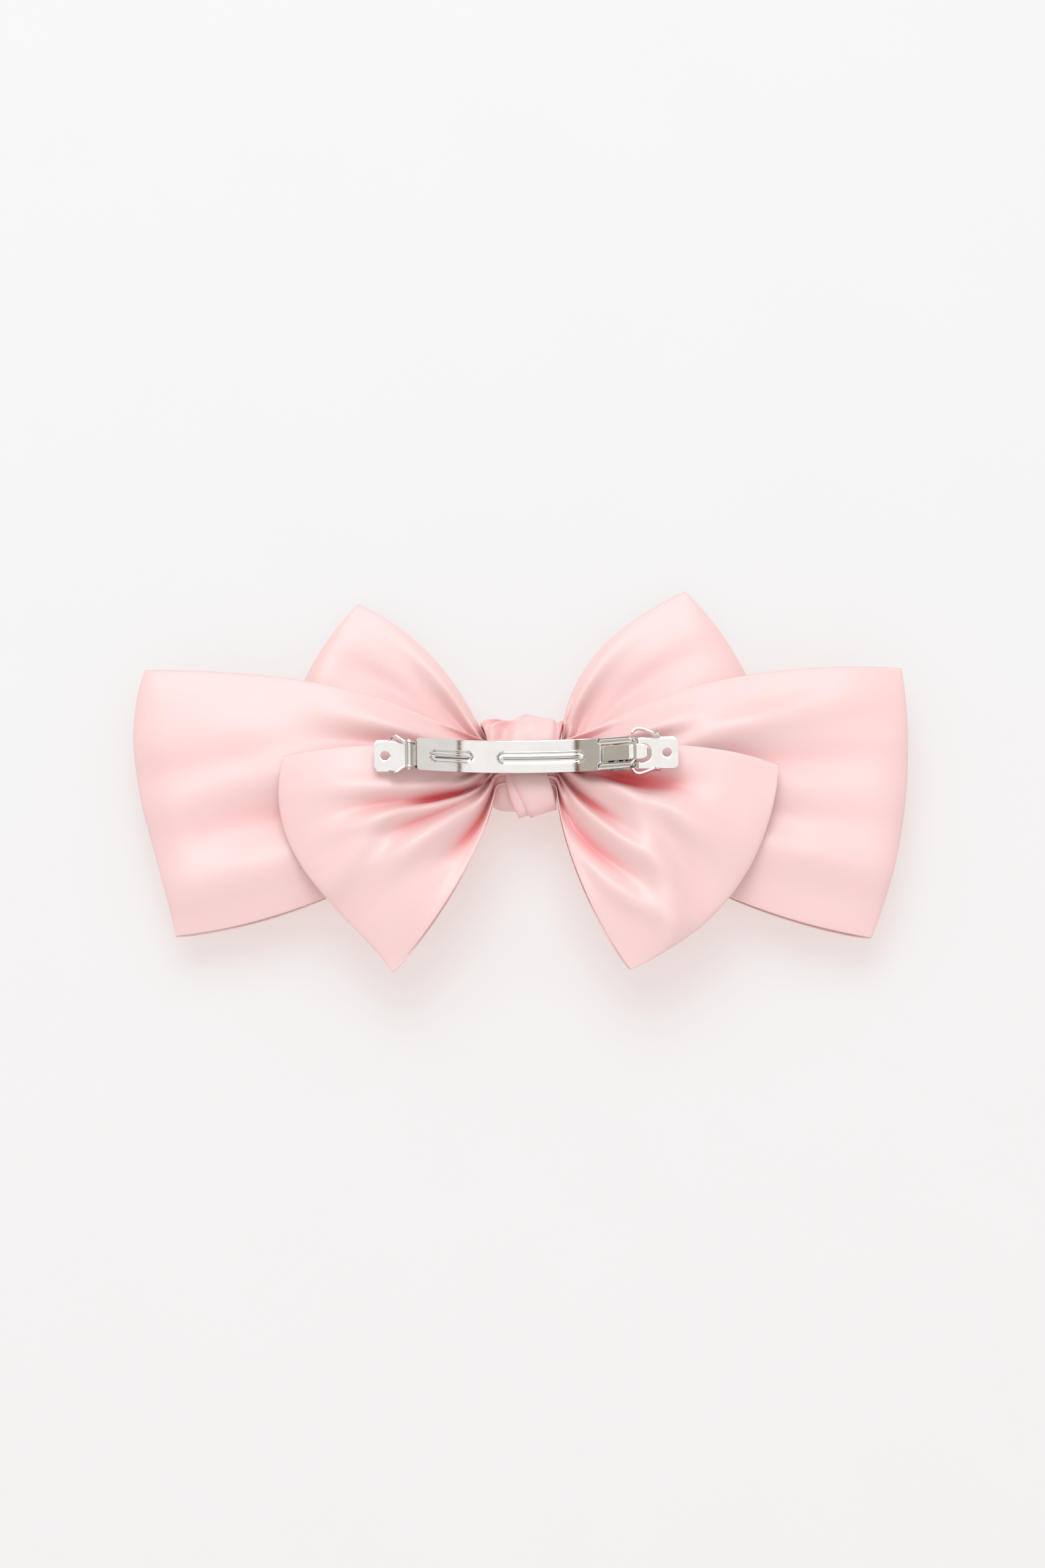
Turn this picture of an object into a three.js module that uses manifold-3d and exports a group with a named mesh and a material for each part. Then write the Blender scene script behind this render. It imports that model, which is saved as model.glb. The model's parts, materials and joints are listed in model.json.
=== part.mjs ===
// A large satin bow sewn to an 80 mm sprung hair clasp. Millimetres, +Z up.
// The bow lies on its front with the clasp on top: +X runs along the clasp to its catch end.
// Every piece is first placed from the middle of the clasp, with z = 0 at the underside of its end tabs.
// The finished group is then lifted so that its origin is the middle of its footprint, on the ground.
import * as THREE from "three";
import { mergeVertices } from "three/addons/utils/BufferGeometryUtils.js";
import Module from "manifold-3d";

const wasm = await Module();
wasm.setup();

// ---------------------------------------------------------------- driving dimensions

const CLASP = { length: 80, tabWidth: 8.4, tabCorner: 1.2, holeAt: 37.1, holeRadius: 1.25 };

// The base plate: flat tabs, and between them a bar bowed away from the wearer's head.
const BASE = {
  thickness: 0.6,
  bowRadius: 44.4, // of the bar's upper face
  bowHalf: 25.5, // where the bow starts to turn into the flat tab
  blend: 5.6, // length of that turn
  barWidth: 6,
  hingeWidth: 6.9,
};

const EAR = { wall: 0.5, inner: 3.0, flare: 4.95, from: -35.6, to: -29.2, crown: 1.55 };
const PIN = { x: -30.7, z: 2.1, radius: 0.5, fit: 0.06, length: 8.2 };

// The clasp arm, closed: a bowed strip with two pressed channels and a forked catch end.
const ARM = {
  from: -28.5,
  shoulder: 28.6, // where the fork closes into the nose
  tip: 31.6,
  width: 8.6,
  thickness: 0.5,
  bowRadius: 65.7,
  bowCentre: 1.0,
  middleTop: -3.4,
  corner: 0.9,
  eyeRadius: 1.2,
  eyeWidth: 5.6,
  noseWidth: 3.9,
};
const FORK = { from: 19.6, to: 28.0, tongueWidth: 4.0, slit: 0.35, lift: 0.5, ramp: 1.0 };
const CHANNEL = { width: 3.4, wall: 0.4, depth: 0.45, y: -0.25 };
const CHANNELS = [
  { from: -25.1, to: -13.9 },
  { from: -7.6, to: 15.5 },
];

const STRIP = { half: 23.6, width: 5.0, thickness: 0.3, bowRadius: 100, middleTop: -4.5 };

const NOSE_WELL = { from: 28.4, to: 33.0, width: 5.0 };
const WING = {
  wall: 0.5,
  foot: [33.4, 35.4], // along x, beside the tab
  footInner: 4.4,
  reach: 27.8,
  bulge: 5.95,
  hook: 4.5,
  low: 1.6,
  high: 4.0,
};

// The bow: three gathered ribbons in a stack, tied and wrapped at the waist.
const WAIST = { half: 9.3, ribbonHalf: 6, notch: 0.5, stations: [0, 1.3, 1.9, 3.2, 9.3] };
const THREAD = { half: 1.1, wall: 0.34, gap: 0.08 };
const BUNDLE = { from: 3.8, to: 5.4, gap: 0.12, wall: 0.32 };
const KNOT = {
  from: -9,
  to: 8,
  outerHalf: 12.2,
  innerHalf: 6.75,
  back: -10.6,
  backInner: -11.4,
  frontInner: -22.5,
  front: -26.5,
  round: 4.5,
};
const TAIL = { thickness: 0.6, top: -3.4, skin: 0.25 };
const GLUE = { half: 6.5, halfWidth: 2.6, skin: 0.05 };

// Heights of each ribbon's upper and lower faces against the distance from the knot's middle.
const LAYERS = {
  back: {
    top: [[8, -12.2], [15, -9.9], [28, -4.2], [38, -1.5], [50, -1.7], [68, -4.6]],
    bottom: [[8, -15.2], [15, -13.9], [28, -9.6], [38, -7.6], [50, -7.5], [68, -8.3]],
  },
  wide: {
    top: [[8, -15.5], [15, -14.2], [28, -9.9], [38, -7.9], [50, -7.8], [68, -8.6], [106, -10.5]],
    bottom: [[8, -18.5], [15, -18.3], [28, -17.5], [40, -17.0], [68, -17.3], [106, -18.0]],
  },
  front: {
    top: [[8, -18.8], [15, -18.6], [28, -17.8], [40, -17.3], [68, -17.6]],
    bottom: [[8, -21.8], [15, -23.2], [30, -26.5], [46, -26.5], [68, -24.5]],
  },
};

// Plan of each loop: its two woven edges run from the waist to the corners of its fold, as curves with
// two handles each, and the fold itself bulges outwards between the corners.
const LOOPS = {
  back: {
    left: {
      upper: [[-30, 3], [-48, 5], [-64.3, 1.5]],
      lower: [[-11, -24], [-22, -42], [-35.7, -56.5]],
      bulge: 7,
    },
    right: {
      upper: [[30, 3], [50, 4], [67, -2.3]],
      lower: [[9, -24], [16, -42], [26.5, -56.5]],
      bulge: 7,
    },
  },
  wide: {
    left: {
      upper: [[-32, 14], [-45, 26], [-102, 26.9]],
      lower: [[-28, -22], [-50, -41], [-93.4, -45.3]],
      bulge: 5.5,
    },
    right: {
      upper: [[32, 14], [45, 27.5], [101, 24.9]],
      lower: [[26, -22], [50, -41], [90.7, -48]],
      bulge: 5,
    },
  },
  front: {
    left: {
      upper: [[-15, 18], [-24, 36], [-45, 46]],
      lower: [[-28, -6], [-48, -10], [-66, -13]],
      bulge: 7,
    },
    right: {
      upper: [[12, 18], [17, 36], [43.8, 48.4]],
      lower: [[28, -6], [48, -10], [66, -12]],
      bulge: 7,
    },
  },
};

const ROUND_SEGMENTS = 24;
const BOW_STEP = 1.5; // length of one facet along a bowed strip

// ---------------------------------------------------------------- finishes

const finish = (color, roughness, metalness) => new THREE.MeshStandardMaterial({ color, roughness, metalness });
const NICKEL = finish(0xd9d8d6, 0.16, 1);
const SATIN = finish(0xf9d3d2, 0.42, 0);
const THREAD_PINK = finish(0xf0b9bb, 0.8, 0);
const HOT_GLUE = finish(0xe9e2cf, 0.35, 0);

// ---------------------------------------------------------------- solids

/** A manifold-3d solid from a closed three.js geometry. */
function solidOf(geometry) {
  const bare = geometry.index ? geometry.toNonIndexed() : geometry.clone();
  bare.deleteAttribute("normal");
  bare.deleteAttribute("uv");
  const merged = mergeVertices(bare, 1e-4);
  return new wasm.Manifold(
    new wasm.Mesh({
      numProp: 3,
      vertProperties: new Float32Array(merged.attributes.position.array),
      triVerts: new Uint32Array(merged.index.array),
    }),
  );
}

/** A three.js geometry from a manifold-3d solid. */
function geometryOf(solid) {
  const { numProp, vertProperties, triVerts } = solid.getMesh();
  const count = vertProperties.length / numProp;
  const position = new Float32Array(count * 3);
  for (let i = 0; i < count; i++) {
    position.set(vertProperties.subarray(i * numProp, i * numProp + 3), i * 3);
  }
  const geometry = new THREE.BufferGeometry();
  geometry.setAttribute("position", new THREE.BufferAttribute(position, 3));
  geometry.setIndex(new THREE.BufferAttribute(new Uint32Array(triVerts), 1));
  geometry.computeVertexNormals();
  return geometry;
}

/** A plan outline in x and y, made solid from z = low to z = high. */
function upright(shape, low, high, curveSegments = 6) {
  const geometry = new THREE.ExtrudeGeometry(shape, { depth: high - low, bevelEnabled: false, curveSegments });
  return solidOf(geometry.translate(0, 0, low));
}

/** A side outline in x and z, made solid across y from -half to +half. */
function across(shape, half, curveSegments = 6) {
  const geometry = new THREE.ExtrudeGeometry(shape, { depth: 2 * half, bevelEnabled: false, curveSegments });
  return solidOf(geometry.rotateX(Math.PI / 2).translate(0, half, 0));
}

/** An end outline in y and z, made solid along x. */
function along(shape, from, to, curveSegments = 6) {
  const geometry = new THREE.ExtrudeGeometry(shape, { depth: to - from, bevelEnabled: false, curveSegments });
  geometry.rotateZ(Math.PI / 2).rotateY(Math.PI / 2);
  return solidOf(geometry.translate(from, 0, 0));
}

/** A round bar along y. */
function roundBar(x, z, radius, length) {
  const geometry = new THREE.CylinderGeometry(radius, radius, length, ROUND_SEGMENTS);
  return solidOf(geometry.translate(x, 0, z));
}

/** A shape through a list of points given as pairs. */
const polygon = (points) => new THREE.Shape(points.map(([a, b]) => new THREE.Vector2(a, b)));

/** A rectangle with rounded corners. */
function roundedBox(left, right, bottom, top, radius) {
  const r = Math.min(radius, (right - left) / 2 - 0.01, (top - bottom) / 2 - 0.01);
  const shape = new THREE.Shape();
  shape.moveTo(left + r, bottom);
  shape.lineTo(right - r, bottom);
  shape.absarc(right - r, bottom + r, r, -Math.PI / 2, 0);
  shape.lineTo(right, top - r);
  shape.absarc(right - r, top - r, r, 0, Math.PI / 2);
  shape.lineTo(left + r, top);
  shape.absarc(left + r, top - r, r, Math.PI / 2, Math.PI);
  shape.lineTo(left, bottom + r);
  shape.absarc(left + r, bottom + r, r, Math.PI, 1.5 * Math.PI);
  return shape;
}

/** The side outline of sheet metal whose upper face follows heightAt(x). */
function sheetOutline(from, to, thickness, heightAt) {
  const steps = Math.ceil((to - from) / BOW_STEP);
  const upper = [];
  const lower = [];
  for (let i = 0; i <= steps; i++) {
    const x = from + ((to - from) * i) / steps;
    const z = heightAt(x);
    const slope = (heightAt(x + 0.01) - heightAt(x - 0.01)) / 0.02;
    upper.push([x, z]);
    lower.push([x, z - thickness * Math.hypot(1, slope)]);
  }
  return polygon([...lower, ...upper.reverse()]);
}

/** A thin standing wall that follows a curve through points in plan. */
function standingWall(points, wall, low, high, samples = 16) {
  const curve = new THREE.SplineCurve(points.map(([x, y]) => new THREE.Vector2(x, y)));
  const left = [];
  const right = [];
  for (let i = 0; i <= samples; i++) {
    const p = curve.getPoint(i / samples);
    const t = curve.getTangent(i / samples);
    left.push([p.x - (t.y * wall) / 2, p.y + (t.x * wall) / 2]);
    right.push([p.x + (t.y * wall) / 2, p.y - (t.x * wall) / 2]);
  }
  return upright(polygon([...right, ...left.reverse()]), low, high);
}

// ---------------------------------------------------------------- heights of the bowed metal

const bow = (x, radius) => radius - Math.sqrt(radius * radius - x * x);
const baseTurnSlope = BASE.bowHalf / Math.sqrt(BASE.bowRadius ** 2 - BASE.bowHalf ** 2);
const baseMiddleTop = BASE.thickness - bow(BASE.bowHalf, BASE.bowRadius) - (baseTurnSlope * BASE.blend) / 2;

/** Upper face of the base plate. */
function baseTop(x) {
  const beyond = Math.abs(x) - BASE.bowHalf;
  if (beyond <= 0) return baseMiddleTop + bow(x, BASE.bowRadius);
  const left = Math.max(BASE.blend - beyond, 0);
  return BASE.thickness - ((baseTurnSlope / 2) * left * left) / BASE.blend;
}

const armTop = (x) => ARM.middleTop + bow(x - ARM.bowCentre, ARM.bowRadius);
const stripTop = (x) => STRIP.middleTop + bow(x, STRIP.bowRadius);

/** How far the fork's tongue is pressed up above the arm. */
function tongueLift(x) {
  const inside = Math.min(x - FORK.from, FORK.to - x);
  return FORK.lift * THREE.MathUtils.clamp(inside / FORK.ramp, 0, 1);
}

// ---------------------------------------------------------------- clasp pieces

// Where the base plate changes width: each change is a curve from one x to another, drawn towards a third.
const STEPS = {
  tabToHinge: { from: EAR.from, towards: -33, to: -32 },
  hingeToBar: { from: -28.4, towards: -27, to: -26 },
  barToTab: { from: 19, towards: 21.5, to: 23.5 },
};

// The bent foot of each hinge ear in plan, and its sloping shoulder from the side.
const EAR_FOOT = { flared: 1.3, turning: -32.8, set: 0.55, straight: -31.4 };
const EAR_SHOULDER = { towards: [-33.2, 3.5], at: [-34.6, 3.1], toe: 2.6 };

/** One hinge ear, on the side given by the sign of side. */
function hingeEar(side) {
  const middle = EAR.inner + EAR.wall / 2;
  const plan = [
    [EAR.from, CLASP.tabWidth / 2 - EAR.wall / 2],
    [EAR.from + EAR_FOOT.flared, EAR.flare - EAR.wall / 2],
    [EAR_FOOT.turning, middle + EAR_FOOT.set],
    [EAR_FOOT.straight, middle],
    [EAR.to + 0.3, middle],
  ].map(([x, y]) => [x, side * y]);
  const outline = new THREE.Shape();
  outline.moveTo(EAR.from, 0);
  outline.lineTo(EAR.to, 0);
  outline.lineTo(EAR.to, PIN.z);
  outline.absarc(PIN.x, PIN.z, EAR.crown, 0, 0.6 * Math.PI);
  outline.quadraticCurveTo(...EAR_SHOULDER.towards, ...EAR_SHOULDER.at);
  outline.quadraticCurveTo(EAR.from, EAR_SHOULDER.toe, EAR.from, 0);
  return standingWall(side > 0 ? plan : plan.reverse(), EAR.wall, 0, 4).intersect(across(outline, 6));
}

/** The stamped base plate: two tabs, the bowed bar, the hinge ears and the well that the nose drops into. */
function basePlate() {
  const end = CLASP.length / 2;
  const tab = CLASP.tabWidth / 2;
  const bar = BASE.barWidth / 2;
  const hinge = BASE.hingeWidth / 2;
  const r = CLASP.tabCorner;
  const { tabToHinge, hingeToBar, barToTab } = STEPS;
  const plan = new THREE.Shape();
  plan.moveTo(-end + r, -tab);
  plan.lineTo(tabToHinge.from, -tab);
  plan.quadraticCurveTo(tabToHinge.towards, -tab, tabToHinge.to, -hinge);
  plan.lineTo(hingeToBar.from, -hinge);
  plan.quadraticCurveTo(hingeToBar.towards, -hinge, hingeToBar.to, -bar);
  plan.lineTo(barToTab.from, -bar);
  plan.quadraticCurveTo(barToTab.towards, -bar, barToTab.to, -tab);
  plan.lineTo(end - r, -tab);
  plan.absarc(end - r, -tab + r, r, -Math.PI / 2, 0);
  plan.lineTo(end, tab - r);
  plan.absarc(end - r, tab - r, r, 0, Math.PI / 2);
  plan.lineTo(barToTab.to, tab);
  plan.quadraticCurveTo(barToTab.towards, bar, barToTab.from, bar);
  plan.lineTo(hingeToBar.to, bar);
  plan.quadraticCurveTo(hingeToBar.towards, hinge, hingeToBar.from, hinge);
  plan.lineTo(tabToHinge.to, hinge);
  plan.quadraticCurveTo(tabToHinge.towards, tab, tabToHinge.from, tab);
  plan.lineTo(-end + r, tab);
  plan.absarc(-end + r, tab - r, r, Math.PI / 2, Math.PI);
  plan.lineTo(-end, -tab + r);
  plan.absarc(-end + r, -tab + r, r, Math.PI, 1.5 * Math.PI);

  const well = NOSE_WELL.width / 2;
  const wellPlan = roundedBox(NOSE_WELL.from, NOSE_WELL.to, -well, well, 2.2);
  const hole = (x) => {
    const drill = new THREE.CylinderGeometry(CLASP.holeRadius, CLASP.holeRadius, 4, ROUND_SEGMENTS);
    return solidOf(drill.rotateX(Math.PI / 2).translate(x, 0, 0));
  };

  return across(sheetOutline(-end, end, BASE.thickness, baseTop), tab + 1)
    .intersect(upright(plan, -20, 4))
    .add(hingeEar(1))
    .add(hingeEar(-1))
    .subtract(upright(wellPlan, -4, 4))
    .subtract(hole(-CLASP.holeAt))
    .subtract(hole(CLASP.holeAt))
    .subtract(roundBar(PIN.x, PIN.z, PIN.radius + PIN.fit, 12));
}

/** One channel pressed into the arm: the metal pushed down, and the hollow left above it. */
function pressedChannel({ from, to }) {
  const half = CHANNEL.width / 2;
  const [low, high] = [CHANNEL.y - half, CHANNEL.y + half];
  const capsule = (inset) =>
    upright(roundedBox(from + inset, to - inset, low + inset, high - inset, half), -12, 6, 5);
  const floor = (x) => armTop(x) - CHANNEL.depth;
  const pushed = across(sheetOutline(from - 2, to + 2, ARM.thickness, floor), 5);
  const hollow = across(sheetOutline(from - 2, to + 2, CHANNEL.depth + 3, (x) => armTop(x) + 3), 5);
  const wall = across(sheetOutline(from - 2, to + 2, CHANNEL.depth + ARM.thickness, armTop), 5);
  return {
    metal: wall.intersect(capsule(0)).add(pushed.intersect(capsule(0))),
    hollow: hollow.intersect(capsule(CHANNEL.wall)),
  };
}

/** The clasp arm: eye for the pin, bowed strip with two channels, and the fork that ends in a nose. */
function claspArm() {
  const half = ARM.width / 2;
  const nose = ARM.noseWidth / 2;
  const r = ARM.corner;
  const plan = new THREE.Shape();
  plan.moveTo(ARM.from + r, -half);
  plan.lineTo(ARM.shoulder - 1.9, -half);
  plan.quadraticCurveTo(ARM.shoulder - 0.3, -half, ARM.shoulder, -nose);
  plan.lineTo(ARM.tip - nose, -nose);
  plan.absarc(ARM.tip - nose, 0, nose, -Math.PI / 2, Math.PI / 2);
  plan.lineTo(ARM.shoulder, nose);
  plan.quadraticCurveTo(ARM.shoulder - 0.3, half, ARM.shoulder - 1.9, half);
  plan.lineTo(ARM.from + r, half);
  plan.absarc(ARM.from + r, half - r, r, Math.PI / 2, Math.PI);
  plan.lineTo(ARM.from, -half + r);
  plan.absarc(ARM.from + r, -half + r, r, Math.PI, 1.5 * Math.PI);

  const neck = polygon([
    [PIN.x, PIN.z + ARM.eyeRadius],
    [PIN.x + 0.6, PIN.z + ARM.eyeRadius - 0.55],
    [ARM.from + 0.6, armTop(ARM.from) - ARM.thickness - 0.05],
    [ARM.from + 0.6, armTop(ARM.from) - 0.15],
  ]);
  const tongue = FORK.tongueWidth / 2;
  const window = tongue + FORK.slit;
  const strip = across(sheetOutline(ARM.from, ARM.tip, ARM.thickness, armTop), half + 1);
  let arm = strip.intersect(upright(plan, -12, 6));
  arm = arm.subtract(upright(roundedBox(FORK.from, FORK.to, -window, window, 0.3), -12, 6));
  const raised = sheetOutline(FORK.from - 0.4, FORK.to + 0.4, ARM.thickness, (x) => armTop(x) + tongueLift(x));
  arm = arm.add(across(raised, tongue));
  for (const channel of CHANNELS.map(pressedChannel)) arm = arm.add(channel.metal).subtract(channel.hollow);
  return arm
    .add(across(neck, ARM.eyeWidth / 2))
    .add(roundBar(PIN.x, PIN.z, ARM.eyeRadius, ARM.eyeWidth))
    .subtract(roundBar(PIN.x, PIN.z, PIN.radius + PIN.fit, 12));
}

/** One sprung wing of the catch: a foot beside the tab and a wall that bulges out and hooks back in. */
function catchWing(side) {
  const middle = WING.footInner + WING.wall / 2;
  const plan = [
    [WING.foot[1], middle],
    [WING.foot[0] + 0.4, middle],
    [32.4, middle + 0.55],
    [30.2, WING.bulge],
    [28.7, WING.bulge - 0.15],
    [WING.reach, WING.hook + WING.wall / 2],
  ].map(([x, y]) => [x, side * y]);
  const outline = new THREE.Shape();
  outline.moveTo(WING.foot[1], 0);
  outline.lineTo(WING.foot[1], 2.4);
  outline.quadraticCurveTo(WING.foot[1], WING.high, 33.4, WING.high);
  outline.lineTo(WING.reach - 1, WING.high);
  outline.lineTo(WING.reach - 1, WING.low + 0.5);
  outline.quadraticCurveTo(30, WING.low, WING.foot[0] - 0.6, WING.low);
  outline.lineTo(WING.foot[0], 0);
  outline.closePath();
  return standingWall(side > 0 ? plan.reverse() : plan, WING.wall, -0.5, 5, 20).intersect(across(outline, 8));
}

/** The curved filler of glue between the bar and the back of the knot. */
function gluePad() {
  const under = (x) => baseTop(x) - BASE.thickness * Math.hypot(1, x / BASE.bowRadius) - GLUE.skin;
  const points = [[-GLUE.half, KNOT.back + GLUE.skin], [GLUE.half, KNOT.back + GLUE.skin]];
  for (let i = 8; i >= 0; i--) {
    const x = GLUE.half * (i / 4 - 1);
    points.push([x, under(x) - 0.02]);
  }
  return across(polygon(points), GLUE.halfWidth);
}

// ---------------------------------------------------------------- bow pieces

/** A smooth height through pairs of distance and height. */
function heightProfile(pairs) {
  return (distance) => {
    const last = pairs.length - 1;
    if (distance <= pairs[0][0]) return pairs[0][1];
    if (distance >= pairs[last][0]) return pairs[last][1];
    const i = pairs.findIndex(([d]) => d > distance) - 1;
    const [d0, z0] = pairs[i];
    const [d1, z1] = pairs[i + 1];
    return THREE.MathUtils.lerp(z0, z1, (distance - d0) / (d1 - d0));
  };
}

/** The woven edge of a loop, from the waist to a corner of its fold. */
function edgeCurve(start, [handleA, handleB, corner]) {
  return new THREE.CubicBezierCurve(
    new THREE.Vector2(...start),
    new THREE.Vector2(...handleA),
    new THREE.Vector2(...handleB),
    new THREE.Vector2(...corner),
  );
}

/** The closed outer form of one gathered ribbon: a loop each side of a tied waist. */
function gatheredRibbon(layer) {
  const waistSteps = WAIST.stations.length - 1;
  const alongSteps = waistSteps + 12;
  const acrossSteps = 8;
  const top = heightProfile(LAYERS[layer].top);
  const bottom = heightProfile(LAYERS[layer].bottom);
  const edges = {};
  for (const [side, sign] of [["left", -1], ["right", 1]]) {
    const { upper, lower, bulge } = LOOPS[layer][side];
    edges[sign] = {
      upper: edgeCurve([sign * WAIST.half, WAIST.ribbonHalf], upper),
      lower: edgeCurve([sign * WAIST.half, -WAIST.ribbonHalf], lower),
      bulge,
    };
  }
  const geometry = new THREE.BoxGeometry(2, 1, 1, 2 * alongSteps, acrossSteps, 1);
  const position = geometry.attributes.position;
  for (let i = 0; i < position.count; i++) {
    const step = Math.round(Math.abs(position.getX(i)) * alongSteps);
    const sign = position.getX(i) < 0 ? -1 : 1;
    const v = position.getY(i) + 0.5;
    const w = position.getZ(i) + 0.5;
    if (step <= waistSteps) {
      const inset = step < 2 ? WAIST.notch : 0;
      const half = WAIST.ribbonHalf - inset;
      const z = THREE.MathUtils.lerp(bottom(0) + inset, top(0) - inset, w);
      position.setXYZ(i, sign * WAIST.stations[step], THREE.MathUtils.lerp(-half, half, v), z);
      continue;
    }
    const s = (step - waistSteps) / (alongSteps - waistSteps);
    const { upper, lower, bulge } = edges[sign];
    const a = lower.getPoint(s);
    const b = upper.getPoint(s);
    const fold = new THREE.Vector2().subVectors(b, a).normalize();
    const outward = new THREE.Vector2(sign * fold.y, -sign * fold.x).multiplyScalar(bulge * s * s * 4 * v * (1 - v));
    const p = a.lerp(b, v).add(outward);
    const distance = p.length();
    const middle = (top(distance) + bottom(distance)) / 2;
    const rounding = Math.sqrt(Math.max(1 - Math.max((s - 0.8) / 0.2, 0) ** 2, 0)) * 0.8 + 0.2;
    const half = ((top(distance) - bottom(distance)) / 2) * rounding;
    position.setXYZ(i, p.x, p.y, middle + (2 * w - 1) * half);
  }
  return solidOf(geometry);
}

/** A flat ring of thread round the box given by its half height in y and its two heights in z. */
function threadRing(half, low, high, from, to, gap, wall) {
  const outer = roundedBox(-half - gap - wall, half + gap + wall, low - gap - wall, high + gap + wall, 0.5);
  const inner = roundedBox(-half - gap, half + gap, low - gap, high + gap, 0.2);
  return along(outer, from, to, 4).subtract(along(inner, from - 1, to + 1, 4));
}

/** The winding in the waist of one ribbon. */
function gatherThread(layer) {
  const low = LAYERS[layer].bottom[0][1] + WAIST.notch;
  const high = LAYERS[layer].top[0][1] - WAIST.notch;
  const half = WAIST.ribbonHalf - WAIST.notch;
  return threadRing(half, low, high, -THREAD.half, THREAD.half, THREAD.gap, THREAD.wall);
}

/** The winding that ties the three waists together. */
function bundleThread() {
  const low = LAYERS.front.bottom[0][1];
  const high = LAYERS.back.top[0][1];
  return threadRing(WAIST.ribbonHalf, low, high, BUNDLE.from, BUNDLE.to, BUNDLE.gap, BUNDLE.wall);
}

/** The ribbon knotted round the waist. */
function knotBand() {
  const outer = roundedBox(-KNOT.outerHalf, KNOT.outerHalf, KNOT.front, KNOT.back, KNOT.round);
  const inner = roundedBox(-KNOT.innerHalf, KNOT.innerHalf, KNOT.frontInner, KNOT.backInner, 1);
  return along(outer, KNOT.from, KNOT.to, 6).subtract(along(inner, KNOT.from - 1, KNOT.to + 1, 4));
}

/** One end of the knot's ribbon, folded to a blunt point and turned over the edge of its back. */
function knotTail(from, to, tipFrom, tipTo) {
  const edge = -KNOT.outerHalf;
  const r = KNOT.round;
  const inner = TAIL.skin;
  const outer = TAIL.skin + TAIL.thickness;
  const side = new THREE.Shape();
  side.moveTo(TAIL.top, KNOT.back + outer);
  side.lineTo(edge + r, KNOT.back + outer);
  side.absarc(edge + r, KNOT.back - r, r + outer, Math.PI / 2, Math.PI);
  side.lineTo(edge - inner, KNOT.back - r);
  side.absarc(edge + r, KNOT.back - r, r + inner, Math.PI, Math.PI / 2, true);
  side.lineTo(TAIL.top, KNOT.back + inner);
  const plan = polygon([[from, TAIL.top], [tipFrom, edge - 2], [tipTo, edge - 2], [to, TAIL.top]]);
  return along(side, from - 1, to + 1, 6).intersect(upright(plan, -30, 0));
}

// ---------------------------------------------------------------- the assembly

const bow_clip = new THREE.Group();

/** Puts a solid into the group as a named mesh. */
function addPiece(name, solid, material) {
  const mesh = new THREE.Mesh(geometryOf(solid), material);
  mesh.name = name;
  bow_clip.add(mesh);
}

addPiece("base_plate", basePlate(), NICKEL);
addPiece("hinge_pin", roundBar(PIN.x, PIN.z, PIN.radius, PIN.length), NICKEL);
addPiece("clasp_arm", claspArm(), NICKEL);
const stripOutline = sheetOutline(-STRIP.half, STRIP.half, STRIP.thickness, stripTop);
addPiece("tension_strip", across(stripOutline, STRIP.width / 2), NICKEL);
addPiece("catch_wing_upper", catchWing(1), NICKEL);
addPiece("catch_wing_lower", catchWing(-1), NICKEL);
addPiece("glue_pad", gluePad(), HOT_GLUE);
for (const layer of ["back", "wide", "front"]) {
  addPiece(`${layer}_ribbon`, gatheredRibbon(layer), SATIN);
  addPiece(`${layer}_gather_thread`, gatherThread(layer), THREAD_PINK);
}
addPiece("bundle_thread", bundleThread(), THREAD_PINK);
addPiece("knot_band", knotBand(), SATIN);
addPiece("knot_tail_left", knotTail(-6.6, -0.2, -4.4, -2.0), SATIN);
addPiece("knot_tail_right", knotTail(0.2, 7.2, 0.9, 4.4), SATIN);

const box = new THREE.Box3().setFromObject(bow_clip);
const middle = box.getCenter(new THREE.Vector3());
bow_clip.position.set(-middle.x, -middle.y, -box.min.z);

export default bow_clip;
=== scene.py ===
"""A large satin bow sewn to a sprung hair clasp, laid face down to show its back.

Every size is in millimetres in the clasp's own frame: the origin is the middle of the clasp, z = 0 is
the underside of its end tabs, +X runs to the catch and +Z away from the bow. The bench moves each
finished mesh into the shared frame, in metres.
"""
import json
import logging
import math
from collections.abc import Callable, Sequence
from dataclasses import dataclass, field
from enum import Enum

import bmesh
import bpy
from mathutils import Euler, Matrix, Vector, noise


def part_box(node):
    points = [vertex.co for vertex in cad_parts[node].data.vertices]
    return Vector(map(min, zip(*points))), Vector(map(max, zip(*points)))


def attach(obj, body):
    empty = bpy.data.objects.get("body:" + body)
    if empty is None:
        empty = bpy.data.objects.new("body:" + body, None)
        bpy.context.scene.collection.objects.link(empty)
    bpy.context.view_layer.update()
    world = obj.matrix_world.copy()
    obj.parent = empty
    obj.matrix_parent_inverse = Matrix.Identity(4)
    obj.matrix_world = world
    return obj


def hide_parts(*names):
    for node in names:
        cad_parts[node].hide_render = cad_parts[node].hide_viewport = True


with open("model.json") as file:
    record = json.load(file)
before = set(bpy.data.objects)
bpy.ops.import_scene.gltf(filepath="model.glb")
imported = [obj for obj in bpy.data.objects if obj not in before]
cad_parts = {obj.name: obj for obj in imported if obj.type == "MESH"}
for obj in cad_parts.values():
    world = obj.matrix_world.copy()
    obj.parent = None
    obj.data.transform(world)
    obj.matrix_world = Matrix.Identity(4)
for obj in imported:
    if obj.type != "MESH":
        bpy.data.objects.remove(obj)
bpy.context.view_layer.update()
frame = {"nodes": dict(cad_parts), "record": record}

LOG = logging.getLogger("bow_barrette")
MM = 0.001
TAB_THICKNESS = 0.6

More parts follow.
